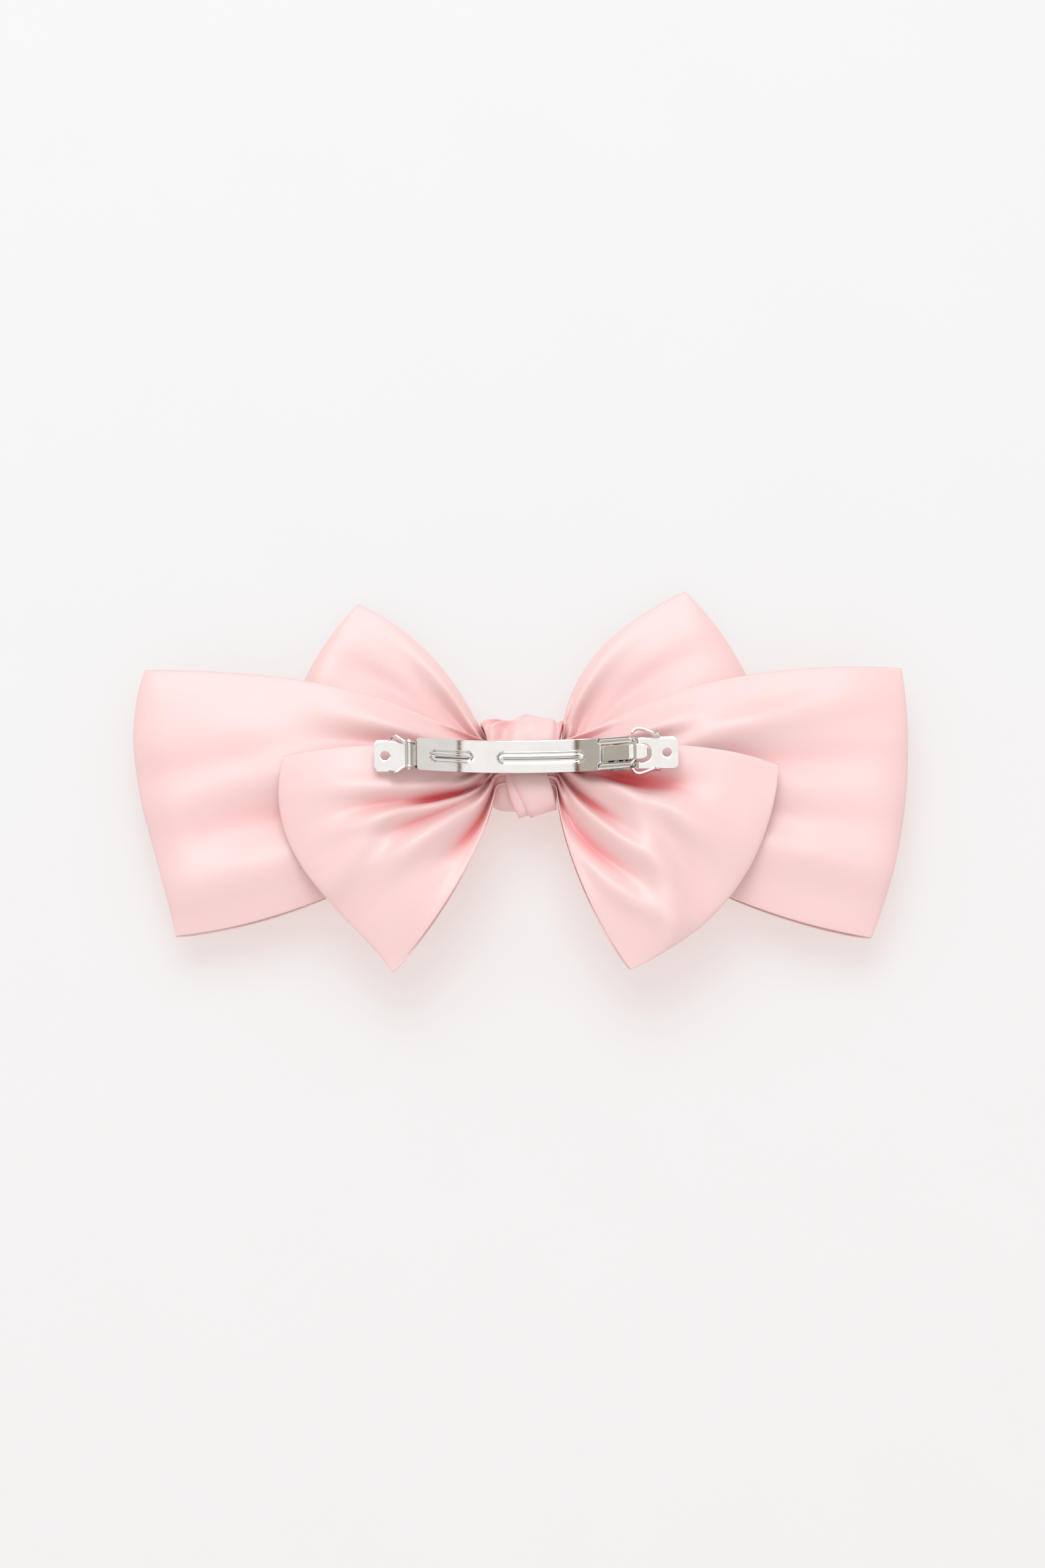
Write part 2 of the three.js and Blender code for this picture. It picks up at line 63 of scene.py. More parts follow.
Point = tuple[float, float]
Place = Callable[[float, float], Vector]
Triple = tuple[float, float, float]
Colour = tuple[float, float, float, float]


# ---------------------------------------------------------------- curves and easing


def mix(a: float, b: float, t: float) -> float:
    """The value a share t of the way from a to b."""
    return a + (b - a) * t


def ease(t: float) -> float:
    """A smooth step from 0 to 1 as t goes from 0 to 1."""
    t = min(max(t, 0.0), 1.0)
    return t * t * (3 - 2 * t)


def bump(distance: float, width: float) -> float:
    """A round hump, 1 where distance is 0 and nearly gone two widths away."""
    return math.exp(-((distance / width) ** 2))


def bezier(points: Sequence[Point], t: float) -> Vector:
    """A point on the cubic curve through the first and last of four points."""
    a, b, c, d = (Vector(p) for p in points)
    return a * (1 - t) ** 3 + b * 3 * t * (1 - t) ** 2 + c * 3 * t * t * (1 - t) + d * t**3


def through(points: Sequence[Point], samples: int) -> list[Vector]:
    """A smooth curve through points.

    Args:
        points: What the curve passes through, in order.
        samples: How many steps the whole curve takes.

    Returns:
        The curve's samples + 1 points.
    """
    knots = [Vector(p) for p in points]
    knots = [2 * knots[0] - knots[1], *knots, 2 * knots[-1] - knots[-2]]
    spans = len(points) - 1
    line = []
    for i in range(samples + 1):
        span = min(int(i * spans / samples), spans - 1)
        t = i * spans / samples - span
        p0, p1, p2, p3 = knots[span : span + 4]
        line.append(
            p1
            + (p2 - p0) * (t / 2)
            + (2 * p0 - 5 * p1 + 4 * p2 - p3) * (t * t / 2)
            + (3 * p1 - p0 - 3 * p2 + p3) * (t**3 / 2)
        )
    return line


@dataclass(frozen=True)
class Profile:
    """A height that changes with distance, through pairs of the two, with its corners softened."""

    pairs: tuple[Point, ...]
    soften: float = 5.0

    def straight(self, distance: float) -> float:
        """The height on the straight lines between the pairs."""
        pairs = self.pairs
        if distance <= pairs[0][0]:
            return pairs[0][1]
        for (d0, z0), (d1, z1) in zip(pairs, pairs[1:]):
            if distance <= d1:
                return mix(z0, z1, (distance - d0) / (d1 - d0))
        return pairs[-1][1]

    def at(self, distance: float) -> float:
        """The softened height, a mean over a short stretch."""
        steps = (-1, -0.6, -0.2, 0.2, 0.6, 1)
        return sum(self.straight(distance + self.soften * k) for k in steps) / len(steps)


# ---------------------------------------------------------------- the bench


class Bench:
    """Turns shapes in the clasp's frame into pieces of the shared frame."""

    def __init__(self) -> None:
        """Finds the clasp's own origin in the shared frame, from the base plate and its hinge tab."""
        low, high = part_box("base_plate")
        mounts = {m["name"]: m["pos_m"] for m in frame["record"]["mounts"]}
        tab_top = mounts["hinge_tab"][2]
        middle = (low + high) / 2
        self.origin = Vector((middle.x, middle.y, tab_top - TAB_THICKNESS * MM))
        self.to_row = Matrix.Translation(self.origin) @ Matrix.Scale(MM, 4)

    def piece(
        self,
        name: str,
        shape: bmesh.types.BMesh,
        body: str,
        slot: str,
        material: bpy.types.Material,
        nodes: Sequence[str] = (),
    ) -> bpy.types.Object:
        """Makes a shape a piece of the object.

        Args:
            name: The piece's name.
            shape: Its mesh in millimetres, which is freed.
            body: The body that it rides on.
            slot: The finish that it takes; not used.
            material: How it looks.
            nodes: The CAD nodes that it stands for.

        Returns:
            The new object.
        """
        mesh = bpy.data.meshes.new(name)
        shape.to_mesh(mesh)
        shape.free()
        mesh.transform(self.to_row)
        mesh.materials.append(material)
        piece = bpy.data.objects.new(name, mesh)
        bpy.context.scene.collection.objects.link(piece)
        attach(piece, body)
        if nodes:
            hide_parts(*nodes)
        LOG.info("%s: %d faces on %s", name, len(mesh.polygons), body)
        return piece

    @staticmethod
    def settle(piece: bpy.types.Object) -> None:
        """Applies a piece's modifiers to its mesh."""
        graph = bpy.context.evaluated_depsgraph_get()
        finished = bpy.data.meshes.new_from_object(piece.evaluated_get(graph), depsgraph=graph)
        piece.modifiers.clear()
        piece.data = finished

    @staticmethod
    def smooth(piece: bpy.types.Object, crease: float = 50.0) -> None:
        """Shades a piece smooth, apart from edges that turn more than crease degrees."""
        piece.data.shade_smooth()
        piece.data.set_sharp_from_angle(angle=math.radians(crease))


def grid(
    columns: int,
    rows: int,
    place: Place,
    size: Point | None = None,
    painted_shade: Callable[[float, float], float] | None = None,
) -> bmesh.types.BMesh:
    """A sheet of square faces, bent into place.

    Args:
        columns: Faces along the sheet.
        rows: Faces across it.
        place: Gives the point for a share along and a share across, each from 0 to 1.
        size: The flat length and width that its UV map is drawn to, where it has one.
        painted_shade: Gives the painted shade at each point, from 0 to 1, deepest in folds, which turns the
            cloth's colour toward its fold pink.

    Returns:
        The bent sheet.
    """
    sheet = bmesh.new()
    # the painted shade of each point, which the cloth's material reads
    depth = sheet.verts.layers.float.new("painted_fold_shade")
    bmesh.ops.create_grid(sheet, x_segments=columns, y_segments=rows, size=1.0)
    shares = {v: ((v.co.x + 1) / 2, (v.co.y + 1) / 2) for v in sheet.verts}
    if size:
        layer = sheet.loops.layers.uv.new("cloth")
        for face in sheet.faces:
            for loop in face.loops:
                along, across = shares[loop.vert]
                loop[layer].uv = (along * size[0], across * size[1])
    for vert, (along, across) in shares.items():
        vert.co = place(along, across)
    if painted_shade:
        for vert, (along, across) in shares.items():
            vert[depth] = painted_shade(along, across)
    return sheet


def thicken(sheet: bmesh.types.BMesh, thickness: float) -> None:
    """Gives a sheet of metal its thickness, below the face that it shows, and closes it."""
    sheet.normal_update()
    drops = {v: v.normal * thickness for v in sheet.verts}
    grown = bmesh.ops.extrude_face_region(sheet, geom=sheet.faces[:], use_keep_orig=True)
    below = [g for g in grown["geom"] if isinstance(g, bmesh.types.BMVert)]
    above = list(drops)
    for vert, source in zip(below, pair_up(below, above)):
        vert.co -= drops[source]
    bmesh.ops.recalc_face_normals(sheet, faces=sheet.faces[:])


def bent(a: float, b: float, c: float, s: float) -> float:
    """The quadratic that is a at s = 0, b at s = 0.5 and c at s = 1."""
    return a * (1 - s) * (1 - 2 * s) + b * 4 * s * (1 - s) + c * s * (2 * s - 1)


def drape(piece: bpy.types.Object, cloth: float) -> None:
    """Gives a sheet of cloth its thickness and a smooth surface."""
    wall = piece.modifiers.new("cloth thickness", "SOLIDIFY")
    wall.thickness = cloth * MM
    wall.offset = 0
    surface = piece.modifiers.new("smooth cloth", "SUBSURF")
    surface.levels = surface.render_levels = 1
    piece.data.shade_smooth()


def round_off(shape: bmesh.types.BMesh, edges: list[bmesh.types.BMEdge], radius: float, steps: int) -> None:
    """Rounds some of a shape's edges."""
    bmesh.ops.bevel(
        shape, geom=edges, offset=radius, segments=steps, profile=0.5, affect="EDGES", material=-1
    )


def pair_up(
    copies: Sequence[bmesh.types.BMVert], sources: Sequence[bmesh.types.BMVert]
) -> list[bmesh.types.BMVert]:
    """The source vertex that each fresh copy still lies on."""
    where = {tuple(round(c, 5) for c in v.co): v for v in sources}
    return [where[tuple(round(c, 5) for c in v.co)] for v in copies]


# ---------------------------------------------------------------- shader maths


class Value:
    """A number that changes over a surface: a socket that Python's operators build on."""

    def __init__(self, nodes: "Nodes", socket: bpy.types.NodeSocket) -> None:
        """Wraps a socket of a tree."""
        self.nodes = nodes
        self.socket = socket

    def _with(self, operation: str, *inputs: "Value | float") -> "Value":
        """One Math node on these inputs."""
        return self.nodes.value("ShaderNodeMath", {"operation": operation}, dict(enumerate(inputs)))

    def __add__(self, other: "Value | float") -> "Value":
        """The sum."""
        return self._with("ADD", self, other)

    __radd__ = __add__

    def __sub__(self, other: "Value | float") -> "Value":
        """The difference."""
        return self._with("SUBTRACT", self, other)

    def __rsub__(self, other: float) -> "Value":
        """The difference from a number."""
        return self._with("SUBTRACT", other, self)

    def __mul__(self, other: "Value | float") -> "Value":
        """The product."""
        return self._with("MULTIPLY", self, other)

    __rmul__ = __mul__

    def sine(self) -> "Value":
        """The sine."""
        return self._with("SINE", self)

    def absolute(self) -> "Value":
        """The size without its sign."""
        return self._with("ABSOLUTE", self)

    def between(self, low: float, high: float) -> "Value":
        """0 below low and 1 above high, with a smooth step from one to the other."""
        return self.nodes.value(
            "ShaderNodeMapRange",
            {"interpolation_type": "SMOOTHSTEP"},
            {"Value": self, "From Min": low, "From Max": high},
        )


class Nodes:
    """The node tree of one material."""

    def __init__(self, name: str) -> None:
        """Starts a material with an empty tree."""
        self.material = bpy.data.materials.new(name)
        self.material.use_nodes = True
        self.tree = self.material.node_tree
        self.tree.nodes.clear()

    def add(
        self,
        kind: str,
        settings: dict[str, object] | None = None,
        inputs: dict[str | int, object] | None = None,
    ) -> bpy.types.Node:
        """Adds a node.

        Args:
            kind: The node's type.
            settings: Its properties, which are set first.
            inputs: What its sockets hold, as a value or as the socket or Value that feeds them.

        Returns:
            The node.
        """
        node = self.tree.nodes.new(kind)
        for key, setting in (settings or {}).items():
            setattr(node, key, setting)
        for key, given in (inputs or {}).items():
            if isinstance(given, Value):
                given = given.socket
            if isinstance(given, bpy.types.NodeSocket):
                self.tree.links.new(given, node.inputs[key])
            else:
                node.inputs[key].default_value = given
        return node

    def value(self, kind: str, settings: dict[str, object], inputs: dict[str | int, object]) -> Value:
        """Adds a node and wraps its first output."""
        return Value(self, self.add(kind, settings, inputs).outputs[0])

    def blend(self, factor: Value, a: object, b: object) -> bpy.types.NodeSocket:
        """A colour between a and b by factor."""
        node = self.add("ShaderNodeMix", {"data_type": "RGBA"}, {0: factor, 6: a, 7: b})
        return node.outputs[2]

    def noise(self, where: bpy.types.NodeSocket, scale: float, detail: float = 2.0) -> Value:
        """Cloudy noise at a place."""
        return self.value("ShaderNodeTexNoise", {}, {"Vector": where, "Scale": scale, "Detail": detail})

    def stretched(self, where: bpy.types.NodeSocket, scale: Triple) -> bpy.types.NodeSocket:
        """A place with each axis scaled."""
        inputs = {"Vector": where, "Scale": scale}
        return self.add("ShaderNodeMapping", {"vector_type": "POINT"}, inputs).outputs[0]

    def bumped(self, height: Value, strength: float, distance: float) -> bpy.types.NodeSocket:
        """A normal bent by a height."""
        inputs = {"Height": height, "Strength": strength, "Distance": distance}
        node = self.add("ShaderNodeBump", {}, inputs)
        return node.outputs[0]

    def finish(
        self, inputs: dict[str | int, object], glow: float = 0.0, through: Colour = (1, 1, 1, 1)
    ) -> bpy.types.Material:
        """Ends the tree.

        Args:
            inputs: The Principled shader's inputs.
            glow: The share of light that passes through thin cloth.
            through: The colour of that light.

        Returns:
            The finished material.
        """
        shader = self.add("ShaderNodeBsdfPrincipled", {}, inputs)
        if glow:
            behind = self.add("ShaderNodeBsdfTranslucent", {}, {"Color": through})
            layers = {0: glow, 1: shader.outputs[0], 2: behind.outputs[0]}
            shader = self.add("ShaderNodeMixShader", {}, layers)
        self.add("ShaderNodeOutputMaterial", {}, {"Surface": shader.outputs[0]})
        return self.material


# ---------------------------------------------------------------- finishes


@dataclass(frozen=True)
class Satin:
    """Double-face satin ribbon: fine warp floats along its length and a corded woven edge."""

    name: str = "pink_satin"
    width: float = 70.0
    light: Colour = (0.975, 0.76, 0.75, 1)
    deep: Colour = (0.965, 0.69, 0.68, 1)
    # fold is painted shade: a deep pink laid into valleys, round the waist and at tucked edges for shade
    # and light bounced between folds; it is also the colour of the light that passes through the cloth.
    fold: Colour = (0.96, 0.20, 0.225, 1)
    edge: Colour = (0.965, 0.75, 0.74, 1)
    glow: float = 0.19
    roughness: float = 0.34
    sheen: float = 0.2
    selvage: float = 1.1
    float_pitch: float = 0.16
    rib_pitch: float = 0.55

    def material(self) -> bpy.types.Material:
        """The cloth, drawn on the piece's own flat map in millimetres, with painted shade in its folds."""
        nodes = Nodes(self.name)
        flat = nodes.add("ShaderNodeUVMap", {"uv_map": "cloth"}).outputs[0]
        parts = nodes.add("ShaderNodeSeparateXYZ", {}, {0: flat})
        along = Value(nodes, parts.outputs[0])
        across = Value(nodes, parts.outputs[1])
        inward = self.width / 2 - (across - self.width / 2).absolute()
        body = inward.between(self.selvage * 0.6, self.selvage)
        streak = nodes.noise(nodes.stretched(flat, (0.02, 0.35, 1)), 1.0, 3.0)
        cloud = nodes.noise(nodes.stretched(flat, (0.05, 0.05, 1)), 1.0, 2.0)
        cloth = nodes.blend(streak * 0.6 + cloud * 0.4, self.deep, self.light)
        # painted shade: the cloth turns toward the fold pink as far as the mesh's painted shade value says
        attribute = nodes.add("ShaderNodeAttribute", {"attribute_name": "painted_fold_shade"})
        folded = Value(nodes, attribute.outputs["Fac"])
        colour = nodes.blend(body, self.edge, nodes.blend(folded, cloth, self.fold))
        floats = (across * (2 * math.pi / self.float_pitch)).sine() * 0.5 + nodes.noise(
            nodes.stretched(flat, (0.6, 6.0, 1)), 1.0, 2.0
        )
        ribs = (along * (2 * math.pi / self.rib_pitch)).sine()
        height = floats * body * 0.25 + ribs * (1 - body)
        return nodes.finish(
            {
                "Base Color": colour,
                "Roughness": self.roughness + streak * 0.06 + (1 - body) * 0.15,
                "Normal": nodes.bumped(height, 0.25, 0.00006),
                "Sheen Weight": self.sheen,
                "Sheen Roughness": 0.4,
                "Sheen Tint": (1.0, 0.62, 0.62, 1),
                "Specular IOR Level": 0.9,
            },
            self.glow,
            self.fold,
        )


@dataclass(frozen=True)
class Nickel:
    """Bright nickel plating on stamped spring steel, with faint drawing lines and tumbling marks."""

    name: str = "bright_nickel"
    colour: Colour = (0.83, 0.82, 0.80, 1)
    dull: Colour = (0.74, 0.72, 0.69, 1)
    roughness: float = 0.045

    def material(self) -> bpy.types.Material:
        """The plating, drawn on object coordinates."""
        nodes = Nodes(self.name)
        where = nodes.add("ShaderNodeTexCoord").outputs["Object"]
        cloud = nodes.noise(where, 260.0, 3.0)
        lines = nodes.noise(nodes.stretched(where, (400, 9000, 9000)), 1.0, 2.0)
        marks = nodes.noise(where, 1800.0, 4.0).between(0.62, 0.78)
        dulled = cloud.between(0.35, 0.75) * 0.5 + marks * 0.2
        return nodes.finish(
            {
                "Base Color": nodes.blend(dulled, self.colour, self.dull),
                "Metallic": 1.0,
                "Roughness": self.roughness + cloud * 0.05 + marks * 0.1,
                "Normal": nodes.bumped(lines + marks, 0.05, 0.00002),
            }
        )


@dataclass(frozen=True)
class Thread:
    """Spun sewing thread."""

    name: str = "pink_thread"
    light: Colour = (0.86, 0.52, 0.54, 1)
    deep: Colour = (0.70, 0.36, 0.39, 1)

    def material(self) -> bpy.types.Material:
        """The winding, with turns a third of a millimetre apart along the clasp."""
        nodes = Nodes(self.name)
        where = nodes.add("ShaderNodeTexCoord").outputs["Object"]
        along = Value(nodes, nodes.add("ShaderNodeSeparateXYZ", {}, {0: where}).outputs[0])
        turns = (along * (2 * math.pi / 0.00034)).sine()
        fuzz = nodes.noise(where, 5000.0, 3.0)
        return nodes.finish(
            {
                "Base Color": nodes.blend(turns * 0.3 + fuzz * 0.7, self.deep, self.light),
                "Roughness": 0.75 + fuzz * 0.15,
                "Normal": nodes.bumped(turns + fuzz, 0.6, 0.0001),
            }
        )


@dataclass(frozen=True)
class HotGlue:
    """Set hot-melt glue, milky and a little uneven."""

    name: str = "set_glue"
    light: Colour = (0.86, 0.82, 0.72, 1)
    deep: Colour = (0.74, 0.69, 0.57, 1)

    def material(self) -> bpy.types.Material:
        """The glue, drawn on object coordinates."""
        nodes = Nodes(self.name)
        where = nodes.add("ShaderNodeTexCoord").outputs["Object"]
        cloud = nodes.noise(where, 420.0, 3.0)
        ripple = nodes.noise(where, 900.0, 2.0)
        return nodes.finish(
            {
                "Base Color": nodes.blend(cloud, self.deep, self.light),
                "Roughness": 0.28 + cloud * 0.15,
                "Normal": nodes.bumped(ripple, 0.3, 0.0002),
                "Subsurface Weight": 0.2,
                "Subsurface Radius": (0.002, 0.0016, 0.001),
            }
        )


# ---------------------------------------------------------------- gathered ribbons


class Side(Enum):
    """Which way a loop runs from the waist."""

    LEFT = -1
    RIGHT = 1


@dataclass(frozen=True)
class Crease:
    """A ridge, or a valley where its rise is negative, that fans out from the waist.

    start, middle and end say where it runs across the ribbon at the waist, halfway out and at the fold,
    from 0 at the lower edge to 1 at the upper one. It is strongest at peak and gone at fade, as shares of
    the loop. lean is how far its crest leans across the loop, in millimetres.
    """

    start: float
    middle: float
    end: float
    rise: float
    width: float
    peak: float = 0.4
    fade: float = 1.0
    lean: float = 0.0

    def shape(self, s: float, v: float) -> float:
        """Its share of its full height at a share s along the loop and v across it."""
        line = bent(self.start, self.middle, self.end, s)
        grown = 0.45 + 0.55 * ease(s / self.peak)
        faded = 1 - ease((s - self.peak) / (self.fade - self.peak))
        return grown * faded * bump(v - line, self.width)


@dataclass(frozen=True)
class Loop:
    """One loop of a ribbon, in plan: two woven edges from the waist to the corners of its fold.

    bulge is how far the fold bows out; a lean above 1 moves its furthest point toward the upper corner.
    """

    upper: tuple[Point, Point, Point]
    lower: tuple[Point, Point, Point]
    bulge: float
    creases: tuple[Crease, ...]
    lean: float = 1.0

    def plan(self, side: Side, waist: Point, s: float, v: float) -> tuple[Vector, Vector]:
        """A place on the loop.

        Args:
            side: Which way the loop runs.
            waist: The half length and half width of the tied waist.
            s: The share of the way from the waist to the fold.
            v: The share of the way from the lower edge to the upper one.

        Returns:
            The point, and the direction across the loop there.
        """
        sign = side.value
        low = bezier(((sign * waist[0], -waist[1]), *self.lower), s)
        high = bezier(((sign * waist[0], waist[1]), *self.upper), s)
        across = (high - low).normalized()
        outward = Vector((sign * across.y, -sign * across.x))
        leant = v**self.lean
        return low.lerp(high, v) + outward * (self.bulge * s * s * 4 * leant * (1 - leant)), across

    def lift(self, s: float, v: float) -> tuple[float, float]:
        """The height that its creases add, and how far their crests lean across the loop."""
        shapes = [(crease, crease.shape(s, v)) for crease in self.creases]
        return sum(c.rise * k for c, k in shapes), sum(c.lean * k for c, k in shapes)


@dataclass
class GatheredRibbon:
    """A ring of ribbon pressed flat, with a loop each side of a waist that is gathered and tied."""

    name: str
    node: str
    loops: dict[Side, Loop]
    top: Profile
    bottom: Profile
    nesting: float = 0.5
    seed: float = 0.0
    waist: Point = (9.3, 6.0)
    cloth: float = 0.28
    ribbon_width: float = 70.0
    fold_from: float = 0.9
    columns: int = 176
    rows: int = 52
    pleats: float = 6.0
    pleat_height: float = 2.0
    gathered: Point = (0.17, 0.55)
    relief: float = 1.3
    # Painted shade: a valley this deep takes the full fold pink, and the waist takes a share of it that
    # fades over a reach of the loop.
    full_shade_depth: float = 6.0
    waist_shade: float = 0.42
    waist_shade_reach: float = 0.12
    ripple_size: float = 19.0
    ripple_height: float = 0.9
    ripple_over: float = 0.3
    edge_gap: float = 0.1
    edge_power: float = 0.8
    hollow_over: float = 0.25
    lower_shift: float = 0.4
    shift_over: float = 0.2
    table: float = -26.0
    parts: dict[str, float] = field(default_factory=lambda: {"waist": 0.08, "fold": 0.82})

    def along(self, q: float) -> tuple[float, float, float]:
        """Splits a quarter of the ring.

        Args:
            q: The share of the way from the middle of the waist to the middle of the fold.

        Returns:
            The share of the waist passed, the share of the loop passed, and how open the fold still is.
        """
        start, fold = self.parts["waist"], self.parts["fold"]
        if q <= start:
            return q / start, 0.0, 1.0
        if q <= fold:
            return 1.0, self.fold_from * (q - start) / (fold - start), 1.0
        turn = (q - fold) / (1 - fold) * math.pi / 2
        return 1.0, mix(self.fold_from, 1.0, math.sin(turn)), math.cos(turn)

    @staticmethod
    def quarter(along: float) -> tuple[Side, int, float]:
        """Finds which quarter of the ring a place is in.

        Args:
            along: The share of the way along the whole ring.

        Returns:
            The side of the bow, the layer, which is 1 next to the clasp and -1 behind, and the share of the
            way from the middle of the waist to the middle of the fold.
        """
        quarter = min(int(along * 4), 3)
        q = along * 4 - quarter
        if quarter in (1, 3):
            q = 1 - q
        return Side.LEFT if quarter < 2 else Side.RIGHT, 1 if quarter in (0, 3) else -1, q

    def place(self, along: float, v: float) -> Vector:
        """The point at a share along the whole ring and v across it."""
        side, layer, q = self.quarter(along)
        loop = self.loops[side]
        waist, s, opened = self.along(q)
        point, across = loop.plan(side, self.waist, s, v)
        if waist < 1:
            point = Vector((point.x * waist, point.y))
        if layer < 0:
            point -= across * (self.lower_shift * opened * ease(s / self.shift_over))
        distance = point.length
        top, bottom = self.top.at(distance), self.bottom.at(distance)
        middle, half = (top + bottom) / 2, (top - bottom) / 2 - self.cloth
        hollow = mix(self.edge_gap, 1.0, math.sin(math.pi * v) ** self.edge_power)
        half *= mix(1.0, hollow, ease(s / self.hollow_over))
        follow = 1.0 if layer > 0 else mix(1.0, self.nesting, opened)
        reach = self.gathered[0 if layer > 0 else 1]
        wave = math.cos(2 * math.pi * self.pleats * v + side.value)
        gather = self.pleat_height * math.exp(-((s / reach) ** 2)) * wave
        rise, lean = loop.lift(s, v)
        point += across * (lean * waist * follow)
        lift = self.relief * rise * waist * follow + gather
        wrinkle = Vector((point.x / self.ripple_size, point.y / self.ripple_size, self.seed + layer))
        ripple = noise.noise(wrinkle) * self.ripple_height * ease(s / self.ripple_over)
        ripple *= opened
        height = middle + layer * half * opened + lift + ripple
        return Vector((point.x, point.y, max(height, self.table)))

    def depth(self, along: float, v: float) -> float:
        """How much painted shade the cloth takes, from 0 to 1: most in deep valleys, and some near the
        gathered waist.
        """
        side, _, q = self.quarter(along)
        _, s, opened = self.along(q)
        rise, _ = self.loops[side].lift(s, v)
        near = self.waist_shade * math.exp(-s / self.waist_shade_reach)
        return min(1.0, ease(-rise / self.full_shade_depth) + near) * opened

    def flat_length(self) -> float:
        """The length of ribbon in the ring, from the mean of five lines round it."""
        shares = (0.05, 0.275, 0.5, 0.725, 0.95)
        lines = [[self.place(i / 400, v).xy for i in range(401)] for v in shares]
        return sum((b - a).length for line in lines for a, b in zip(line, line[1:])) / len(lines)

    def build(self, bench: Bench, satin: bpy.types.Material) -> bpy.types.Object:
        """Makes the ribbon as one sheet.

        Args:
            bench: Where pieces are made.
            satin: The ribbon's finish.

        Returns:
            The piece.
        """
        length = self.flat_length()
        sheet = grid(self.columns, self.rows, self.place, (length, self.ribbon_width), self.depth)
        bmesh.ops.remove_doubles(sheet, verts=sheet.verts[:], dist=0.001)
        bmesh.ops.recalc_face_normals(sheet, faces=sheet.faces[:])
        piece = bench.piece(self.name, sheet, "bow_and_base", "satin", satin, [self.node])
        drape(piece, self.cloth)
        return piece


